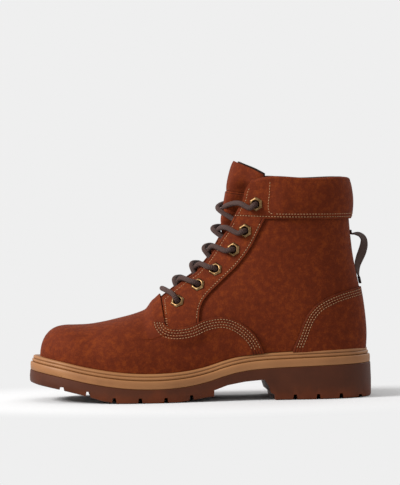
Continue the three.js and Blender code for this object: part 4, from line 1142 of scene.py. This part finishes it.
# ---------------------------------------------------------------- footbed
# A dark fabric-topped foam footbed lies in the bottom of the boot.
bed_rows = [(13.4, 0.3), (13.2, 2.5), (13.6, 4.3), (14.8, 5.0), (20.0, 5.0)]
footbed = loft("fabric_footbed", [sole_ring(inset, lambda x, r=rise: welt_top(x) + r) for inset, rise in bed_rows])
finish_piece(footbed, knit, "boot", "lining", "footbed", angle=50)

# ---------------------------------------------------------------- parts inside the upper and sole
# Lofted insulation lies between leather and lining. Fibre board stiffens the insole, toe and heel. Ground cork fills
# the sole under the board, and a spring-steel strip bridges the arch.
def lofted_insulation():
    """Lofted synthetic fibre: off-white, fluffy, with no shine."""
    made, tree, shader, where = material("lofted_insulation")
    tufts = add(tree, "TexNoise", {"Scale": 500.0, "Detail": 6.0, "Roughness": 0.7}, {"Vector": where["Object"]})
    colour = ramp(tree, tufts, [(0.3, "#a8987c"), (0.7, "#d4c4a6")])
    tree.links.new(colour, shader.inputs["Base Color"])
    bump = add(tree, "Bump", {"Strength": 0.8, "Distance": 0.0006}, {"Height": tufts})
    tree.links.new(bump.outputs[0], shader.inputs["Normal"])
    shader.inputs["Roughness"].default_value = 1.0
    return made


def fibre_board():
    """Pressed cellulose board: flat light brown with darker fibres."""
    made, tree, shader, where = material("fibre_board")
    stretch = add(tree, "Mapping", {"Scale": (300.0, 1400.0, 1400.0)}, {"Vector": where["Object"]})
    fibres = add(tree, "TexNoise", {"Scale": 1.0, "Detail": 4.0}, {"Vector": stretch})
    colour = ramp(tree, fibres, [(0.35, "#8a6a45"), (0.65, "#b48f63")])
    tree.links.new(colour, shader.inputs["Base Color"])
    shader.inputs["Roughness"].default_value = 0.9
    return made


def ground_cork():
    """Bound cork granules two to three millimetres across, each its own shade of brown."""
    made, tree, shader, where = material("ground_cork")
    grains = add(tree, "TexVoronoi", {"Scale": 400.0}, {"Vector": where["Object"]})
    shade = add(tree, "SeparateColor", links={0: grains.outputs["Color"]})
    colour = ramp(tree, shade, [(0.0, "#6b4526"), (0.5, "#a87848"), (1.0, "#c09562")])
    tree.links.new(colour, shader.inputs["Base Color"])
    bump = add(tree, "Bump", {"Strength": 0.5, "Distance": 0.0005, "invert": True}, {"Height": grains})
    tree.links.new(bump.outputs[0], shader.inputs["Normal"])
    shader.inputs["Roughness"].default_value = 0.95
    return made


def spring_steel():
    """Blue-grey hardened strip with fine lengthwise rolling marks."""
    made, tree, shader, where = material("spring_steel")
    stretch = add(tree, "Mapping", {"Scale": (20.0, 2200.0, 2200.0)}, {"Vector": where["Object"]})
    marks = add(tree, "TexNoise", {"Scale": 1.0, "Detail": 3.0}, {"Vector": stretch})
    colour = ramp(tree, marks, [(0.3, "#5c6064"), (0.7, "#8b8f93")])
    tree.links.new(colour, shader.inputs["Base Color"])
    shader.inputs["Metallic"].default_value = 1.0
    shader.inputs["Roughness"].default_value = 0.35
    return made


fleece, board, cork, steel = lofted_insulation(), fibre_board(), ground_cork(), spring_steel()
INSIDE = {
    "vamp_insulation": fleece, "quarter_insulation_lateral": fleece, "quarter_insulation_medial": fleece,
    "insole_board": board, "toe_puff": board, "heel_counter": board, "cork_filler": cork, "steel_shank": steel,
    "vamp_lining": knit,
}
for node, stuff in INSIDE.items():
    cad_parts[node].data.materials.clear()
    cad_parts[node].data.materials.append(stuff)

# ---------------------------------------------------------------- tongue
# A padded leather tongue rises to the front between the facings and stands above the collar. The lacing presses it
# in, and a separate rolled pad is sewn on at its top. Its back is lined with the same knit.
TONGUE_OUTLINE = [
    (-31, 79), (-18, 78), (-6, 80), (10, 88), (27, 103), (44, 124), (58, 150), (69, 176), (71, 190),
]
TONGUE_HALF_WIDTH = 22
TONGUE_SIDE_DEPTH = 11.0
PAD_EXTRA = 14
PAD_FROM = math.radians(76.5)
PAD_SIDE_DEPTH = 6.6
TONGUE_DEPTH = 6.0
TONGUE_TOP_DEPTH = 0.6
TOP_ANGLE = math.radians(80.5)
RISE_FROM, RISE_TO = polar(np.array([(9.0, 148.0), (17.0, 165.0)]))[0]
side_angle, side_turn = place_of(smooth(TONGUE_OUTLINE, 80), 1)


def tongue_grid(rows, columns, low_angle, high_angle):
    """Places on the tongue between two angles, with its upper corners rounded off."""
    share, across = np.meshgrid(np.linspace(0, 1, rows), np.linspace(-1, 1, columns), indexing="ij")
    corner = math.radians(3.0) * np.abs(across) ** 1.7 * (high_angle > TOP_ANGLE)
    angle = low_angle + share * (high_angle - corner - low_angle)
    wide = TONGUE_HALF_WIDTH + PAD_EXTRA * step(angle, PAD_FROM - math.radians(12), PAD_FROM + math.radians(4))
    widest = solve(lambda t: surface(angle, t)[..., 1] < wide, np.zeros(angle.shape), np.ones(angle.shape))
    limit = np.minimum(np.interp(angle, side_angle, side_turn), widest)
    return angle, across * limit, share, across


def tongue_lift(angle, turn):
    """How far the tongue lies inside the upper's face: deep under the laces, hardly at all above them."""
    top = step(angle, RISE_FROM, RISE_TO)
    middle = TONGUE_DEPTH + (TONGUE_TOP_DEPTH - TONGUE_DEPTH) * top
    deep = TONGUE_SIDE_DEPTH + (PAD_SIDE_DEPTH - TONGUE_SIDE_DEPTH) * step(
        angle, PAD_FROM, PAD_FROM + math.radians(3)
    )
    beside = step(np.abs(turn), 0.3 * facing_turn(angle), 0.8 * facing_turn(angle))
    return -(middle + (deep - middle) * beside)


seam_angle = polar((26.0, 187.8))[0]
angle, turn, share, across = tongue_grid(120, 60, math.radians(38), seam_angle)
rim = np.vstack([surface(angle[-1], turn[-1])])
lift = tongue_lift(angle, turn) - 1.2 * step(share, 0.985, 1.0)
tongue = lay(
    "tongue_leather", angle, turn, lift, away_from(even(rim, 0.5))(surface(angle, turn)) / SEAM_ROW + 3, thickness=3.6
)
finish_piece(tongue, leather, "tongue", "leather", "tongue", angle=60)

angle, turn, share, across = tongue_grid(60, 60, seam_angle, math.radians(84.6))
puff = 0.9 * (1 - np.abs(2 * share - 1) ** 4) * (1 - np.abs(across) ** 6) - 0.7
pad = lay("tongue_pad_leather", angle, turn, tongue_lift(angle, turn) + puff, None, thickness=4.6, round_edge=1.0)
finish_piece(pad, leather, "tongue", "leather", "tongue_pad", angle=70)

angle, turn, share, across = tongue_grid(120, 50, math.radians(39), math.radians(84.9))
backing = lay(
    "tongue_lining", angle, turn, tongue_lift(angle, turn) - 5.9 + 1.2 * step(share, 0.97, 1.0), None, thickness=1.2
)
finish_piece(backing, knit, "tongue", "lining", "tongue_lining", angle=60)

# ---------------------------------------------------------------- eyelets
# Twelve six-sided antiqued brass eyelets: a bevelled flange with a rounded lip rolls into a tube that is set over a
# washer behind the facing.
ACROSS_FLATS = 11.4
EYELET_SEAT = 2.0
EYELET_POINTS = 48
turns_round = np.arange(EYELET_POINTS) * 2 * math.pi / EYELET_POINTS
hexagon = 1 / np.cos((turns_round - math.pi / 6) % (math.pi / 3) - math.pi / 6)
EYELET_PROFILE = [
    (ACROSS_FLATS / 2 - 0.1, 0.0, 1), (ACROSS_FLATS / 2, 0.25, 1), (ACROSS_FLATS / 2 - 0.15, 0.5, 1), (4.75, 1.25, 1),
    (4.45, 1.4, 0.5), (4.1, 1.42, 0), (3.75, 1.3, 0), (3.4, 0.95, 0), (3.2, 0.3, 0), (3.2, -7.6, 0), (3.7, -7.6, 0),
    (3.7, 0.0, 0),
]


def eyelet_mesh(name, basis):
    """One eyelet: its profile turned about its axis, six-sided where the profile says so."""
    rings = []
    for radius, height, sixfold in EYELET_PROFILE:
        r = radius * (1 + sixfold * (hexagon - 1))
        level = np.full(EYELET_POINTS, EYELET_SEAT + height)
        rings.append(np.column_stack([r * np.cos(turns_round), r * np.sin(turns_round), level]))
    points = (np.vstack(rings) @ basis[:3] + basis[3]) * MM
    count = len(rings)
    faces = [
        (i * EYELET_POINTS + j, i * EYELET_POINTS + (j + 1) % EYELET_POINTS,
         ((i + 1) % count) * EYELET_POINTS + (j + 1) % EYELET_POINTS, ((i + 1) % count) * EYELET_POINTS + j)
        for i in range(count) for j in range(EYELET_POINTS)
    ]
    made = mesh_piece(name, points, faces)
    face_outward(made)
    return made


def eyelet_basis(which, i):
    n = eyelet_out[which][i]
    up = unit(np.array([0, 0, 1.0]) - n * n[2])
    return np.array([np.cross(up, n), up, n, eyelet_centres[which][i]])


for side_name, which in SIDES.items():
    for i in range(len(EYELETS)):
        eyelet = eyelet_mesh(f"brass_eyelet_{side_name}_{i + 1}", eyelet_basis(which, i))
        finish_piece(eyelet, brass, "boot", "antique_brass", f"eyelet_{side_name}_{i + 1}", angle=25)
for name in [f"eyelet_washer_{side_name}_{i + 1}" for side_name in SIDES for i in range(6)]:
    bpy.data.objects[name].material_slots[0].material = brass

# ---------------------------------------------------------------- lace
# One round braided lace. A bar lies over the throat below the lowest pair, the two halves cross six times on their
# way up, coming out through each eyelet and in under the opposite facing, and both ends go in at the top.
BEND = 3.3
FLANGE_TOP = EYELET_SEAT + 1.7
BARREL_END = 5.6
OVER_EDGE = 4.8
UNDER_EDGE = 5.9
LOWER = -1.3
UPPER = 3.6


def through_eyelet(which, i, came_from, goes_to):
    """The lace's middle through an eyelet, from outside to inside."""
    origin, n = eyelet_centres[which][i], eyelet_out[which][i]

    def toward(spot):
        flat = spot - origin
        return unit(flat - n * (flat @ n))
    a, b = toward(came_from), toward(goes_to)
    steps = [(a, BEND * 1.5, FLANGE_TOP + BEND), (a, BEND * 0.32, FLANGE_TOP + BEND * 0.72), (a, 0, FLANGE_TOP),
             (b, 0, -BARREL_END + 0.3), (b, BEND * 0.32, -BARREL_END - BEND * 0.72), (
                 b, BEND * 1.5, -BARREL_END - BEND
             )]
    return [origin + aside * by + n * up for aside, by, up in steps]


def crossing(start, end, which, height):
    """The lace's middle from under one facing, over the tongue, to the top of the other facing."""
    angles = [polar((p[0], p[2]))[0] for p in (start, end)]
    total = abs(start[1]) + abs(end[1])

    def spot(share, rise):
        angle = sum(angles) / 2
        for _ in range(4):
            y = surface(angle, which * share * facing_turn(angle))[1]
            angle = angles[0] + (angles[1] - angles[0]) * (abs(start[1]) - which * y) / total
        turn = which * share * facing_turn(angle)
        return surface(angle, turn) + outward(angle, turn) * rise
    return [spot(1.2, -UNDER_EDGE - 1.2), spot(0.85, -UNDER_EDGE - 0.5), spot(0, height), spot(-1, OVER_EDGE)]


def half_lacing(which):
    """Half of the lacing, from the lowest eyelets to the highest."""
    points = []
    for i in range(len(EYELETS)):
        here = which * (-1) ** i
        centre = eyelet_centres[here][i]
        before = eyelet_centres[-here][i - 1] if i else centre * [1, -1, 1]
        highest = i + 1 == len(EYELETS)
        after = centre + [40, 0, 0] if highest else eyelet_centres[-here][i + 1]
        points += through_eyelet(here, i, before, after)
        if not highest:
            points += crossing(centre, eyelet_centres[-here][i + 1], here, UPPER if here < 0 else LOWER)
    return points


bar_angle = polar((EYELETS[0][0] - 7, EYELETS[0][1] + 5))[0]
bar = surface(bar_angle, 0.0) + outward(bar_angle, 0.0) * (OVER_EDGE + 0.5)
laced_line = even(smooth(half_lacing(1)[::-1] + [bar] + half_lacing(-1), 2400) * MM, 1.0 * MM)
lace = braid("braided_lace", laced_line, LACE_RADIUS)
finish_piece(lace, lace_stuff, "boot", "lace", "lace", angle=80)

# ---------------------------------------------------------------- pull loop
# A folded strip of dark webbing, caught in the back seam under the collar and above the heel patch. It stands off
# the heel as a finger loop, and turns a little so that its flat face shows from the side.
STRAP_WIDTH = 12.0
STRAP = 1.6
LOOP_LINE = [(137.4, 150.5), (138.2, 147.2), (141.4, 147.0), (145.9, 146.2), (149.4, 142.6), (149.9, 137.6),
             (148.3, 131.0), (145.9, 125.0), (144.0, 119.2), (143.8, 113.5), (145.0, 107.2), (146.0, 102.0)]
LOOP_TWIST = 46


def webbing_stuff():
    """Woven polyester webbing: dark brown ribs about a millimetre wide, running along the strip."""
    made, tree, shader, where = material("woven_webbing")
    split = add(tree, "SeparateXYZ", links={0: where["UV"]})
    ribs = maths(tree, "PINGPONG", split.outputs["Y"], 0.5)
    picks = maths(tree, "PINGPONG", split.outputs["X"], 0.5)
    both = maths(tree, "MULTIPLY_ADD", picks, 0.6, ribs)
    colour = ramp(tree, both, [(0.0, "#241712"), (0.8, "#453029")])
    tree.links.new(colour, shader.inputs["Base Color"])
    bump = add(tree, "Bump", {"Strength": 0.7, "Distance": 0.0004}, {"Height": both})
    tree.links.new(bump.outputs[0], shader.inputs["Normal"])
    shader.inputs["Roughness"].default_value = 0.85
    shader.inputs["Specular IOR Level"].default_value = 0.25
    return made


webbing_look = webbing_stuff()


def strip(name, line, widths, twists):
    """A woven strip along a line seen from the side, with its width and its turn about that line at each point."""
    tangent = unit(np.gradient(line, axis=0))
    points, uv_at = [], []
    count = 9
    along = np.concatenate([[0], np.cumsum(np.linalg.norm(np.diff(line, axis=0), axis=1))])
    for (x, z), (tx, tz), wide, twist, s in zip(line, tangent, widths, twists, along):
        across = np.array([math.sin(twist) * -tz, math.cos(twist), math.sin(twist) * tx])
        out = np.cross([tx, 0, tz], across)
        for face in (-1, 1):
            for k in range(count):
                q = (k / (count - 1) - 0.5) * -face
                rounded = math.sqrt(max(0, 1 - (2 * q) ** 8))
                thick = face * (STRAP / 2) * (0.25 + 0.75 * rounded)
                points.append(np.array([x, 0, z]) + across * q * wide + out * thick)
                uv_at.append((s, (q + 0.5) * wide))
    n = 2 * count
    faces = [(i * n + j, i * n + (j + 1) % n, (i + 1) * n + (j + 1) % n, (i + 1) * n + j)
             for i in range(len(line) - 1) for j in range(n)]
    faces += [tuple(range(n))[::-1], tuple((len(line) - 1) * n + j for j in range(n))]
    made = mesh_piece(name, np.array(points) * MM, faces, [uv_at[k] for face in faces for k in face])
    face_outward(made)
    return made


loop = even(smooth(LOOP_LINE, 300), 0.8)
share = np.linspace(0, 1, len(loop))
twists = np.radians(LOOP_TWIST) * np.sin(np.pi * np.clip((share - 0.1) / 0.8, 0, 1)) ** 0.8
middle = int(len(loop) * 0.45)
top_half = strip("pull_loop_top", loop[: middle + 1], np.full(middle + 1, STRAP_WIDTH), twists[: middle + 1])
low_half = strip("pull_loop_bottom", loop[middle:], np.full(len(loop) - middle, STRAP_WIDTH), twists[middle:])
finish_piece(top_half, webbing_look, None, "webbing", "strap_upper", "pull_loop", angle=50)
finish_piece(low_half, webbing_look, None, "webbing", "strap_lower", angle=50)
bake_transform(top_half)
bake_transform(low_half)

# ---------------------------------------------------------------- stitching
# Tan bonded thread in lock stitch, about eight stitches to the inch: each stitch is a short raised bar that dips
# into the leather at both ends.
TACK_COLUMNS = (-34.0, -31.4)
TACK_HEIGHTS = (67.0, 69.0, 71.0, 73.0)
VAMP_ROWS_TOP = 69.5  # the vamp's rows end at this height in front
PITCH = 2.6
STITCH = 1.95
THREAD = 0.34


def thread_stuff():
    """Bonded polyester thread: waxed, slightly glossy tan."""
    made, tree, shader, where = material("bonded_thread")
    twist = add(tree, "TexNoise", {"Scale": 1500.0}, {"Vector": where["Object"]})
    colour = ramp(tree, twist, [(0.3, "#7c5433"), (0.7, "#9c7650")])
    tree.links.new(colour, shader.inputs["Base Color"])
    shader.inputs["Roughness"].default_value = 0.6
    return made


thread = thread_stuff()
bpy.ops.mesh.primitive_uv_sphere_add(segments=6, ring_count=5, radius=1)
bead = bpy.context.object
bead_points = np.array([v.co for v in bead.data.vertices]) * [STITCH / 2, THREAD * 1.15, THREAD]
bead_faces = [tuple(f.vertices) for f in bead.data.polygons]
bpy.data.objects.remove(bead)


def sew(name, piece, rows, pitch=PITCH, size=1.0, body="boot"):
    """Stitches lying on a piece, along rows given as angles and turns."""
    tree = BVHTree.FromPolygons([v.co for v in piece.data.vertices], [tuple(f.vertices) for f in piece.data.polygons])
    points, faces = [], []
    for angle, turn in rows:
        line = surface(angle, turn)
        along = np.concatenate([[0], np.cumsum(np.linalg.norm(np.diff(line, axis=0), axis=1))])
        if along[-1] < pitch:
            continue
        at = np.arange(pitch / 2, along[-1] - pitch / 4, pitch)
        a, t = np.interp(at, along, angle), np.interp(at, along, turn)
        for p, n in zip(surface(a, t), outward(a, t)):
            hit = tree.ray_cast(Vector(p + n * 14) * MM, Vector(-n), 0.024)[0]
            points.append(None if hit is None else (np.array(hit) / MM, n))
            faces.append(None)
        points.append((None, None))
    laid, built = [], []
    for i, entry in enumerate(points[:-1]):
        if entry is None or entry[0] is None or points[i + 1] is None or points[i + 1][0] is None:
            continue
        heading = points[i + 1][0] - entry[0]
        if not pitch * 0.5 < np.linalg.norm(heading) < pitch * 1.6:
            continue
        n = entry[1]
        heading = unit(heading - n * (heading @ n))
        aside = np.cross(n, heading)
        base = len(laid) * len(bead_points)
        laid.append((bead_points * size) @ np.array([heading, aside, n]) + entry[0] + n * 0.08)
        built += [tuple(base + k for k in face) for face in bead_faces]
    made = mesh_piece(name, np.vstack(laid) * MM, built)
    made.data.materials.append(thread)
    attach(made, body)
    return made


def inset_row(line, distance):
    """A line seen from the side, moved to its right-hand side by a distance."""
    tangent = unit(np.gradient(line, axis=0))
    return line + np.column_stack([tangent[:, 1], -tangent[:, 0]]) * distance


under_side = smooth(UNDERSIDE, 900)
under_side = under_side[(under_side[:, 0] > 0) & (under_side[:, 1] > 50)]
vamp_side = even(smooth(VAMP_EDGE, 400), 0.6)
vamp_side = vamp_side[(vamp_side[:, 1] > 34)]
for side_name, which in SIDES.items():
    rows = []
    for k in (1, 2, 3, 4):
        line = inset_row(vamp_side, k * SEAM_ROW)
        angle, turn = place_of(line, which)
        near = np.interp(angle, ridge_angle, ridge_radius)
        inside = (polar(line)[1] > near + 0.4) & (line[:, 1] > welt_top(line[:, 0]) + 1.5)
        inside &= (line[:, 0] > -34) | (line[:, 1] < VAMP_ROWS_TOP)
        rows.append((angle[inside], turn[inside]))
    sew(f"vamp_stitching_{side_name}", vamp, rows)

    tack = [place_of(np.array([(x - 2.0, z), (x + 2.4, z)]), which) for x in TACK_COLUMNS for z in TACK_HEIGHTS]

    patch_side = even(smooth(HEEL_PATCH, 400), 0.6)
    rows = []
    for k in (1, 2, 3):
        line = inset_row(patch_side, k * SEAM_ROW)
        on_patch = (line[:, 1] > 46) & (line[:, 0] < np.interp(line[:, 1], under_side[:, 1], under_side[:, 0]) - 0.3)
        rows.append(place_of(line[on_patch], which))
    sew(f"heel_patch_stitching_{side_name}", patch, rows)

    facing_row = inset_row(even(smooth(FACING_EDGE, 400), 0.6), 2.7)
    back_row = inset_row(even(smooth(EYESTAY_BACK, 400), 0.6), -SEAM_ROW)
    throat_row = np.array([(-32.2, z) for z in np.arange(89.5, 74, -0.5)])
    facing_part = facing_row[facing_row[:, 1] < 162.0]
    back_part = back_row[(back_row[:, 1] > 73) & (back_row[:, 1] < 161.5)]
    rows = [place_of(line, which) for line in (facing_part, back_part, throat_row)]
    sew(f"eyestay_stitching_{side_name}", eyestays[side_name], rows)
    sew(f"bar_tack_{side_name}", eyestays[side_name], tack, pitch=2.0, size=1.1)
    front_part = facing_row[(facing_row[:, 1] > 166) & (facing_row[:, 1] < 193)]
    corner = even(smooth([(61.4, 195.5), (60.8, 185), (59.8, 172), (61.2, 167.6), (66, 166.6)], 200), 0.6)
    rows = [place_of(front_part, which), place_of(corner, which)]
    sew(f"collar_front_stitching_{side_name}", collar, rows)

# Two rows run round the collar's lower edge. The upper one starts from the rounded corner of its padding.
rows = []
for rise, first in ((SEAM_ROW, 29.0), (SEAM_ROW * 2.1, 66.0)):
    angle, turn = fill_panel(
        round_the_back, np.linspace(0, 1, 600), [0.0], below_height(lambda x, r=rise: collar_bottom(x) + r),
        below_height(collar_top),
    )
    kept = surface(angle[0], turn[0])[:, 0] > first
    rows.append((angle[0][kept], turn[0][kept]))
sew("collar_stitching", collar, rows)

# ---------------------------------------------------------------- size
# The boxes of the CAD and of the visual model.
low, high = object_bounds()
size = {"cad": [list(cad_box[0]), list(cad_box[1])], "visual": [list(low), list(high)]}
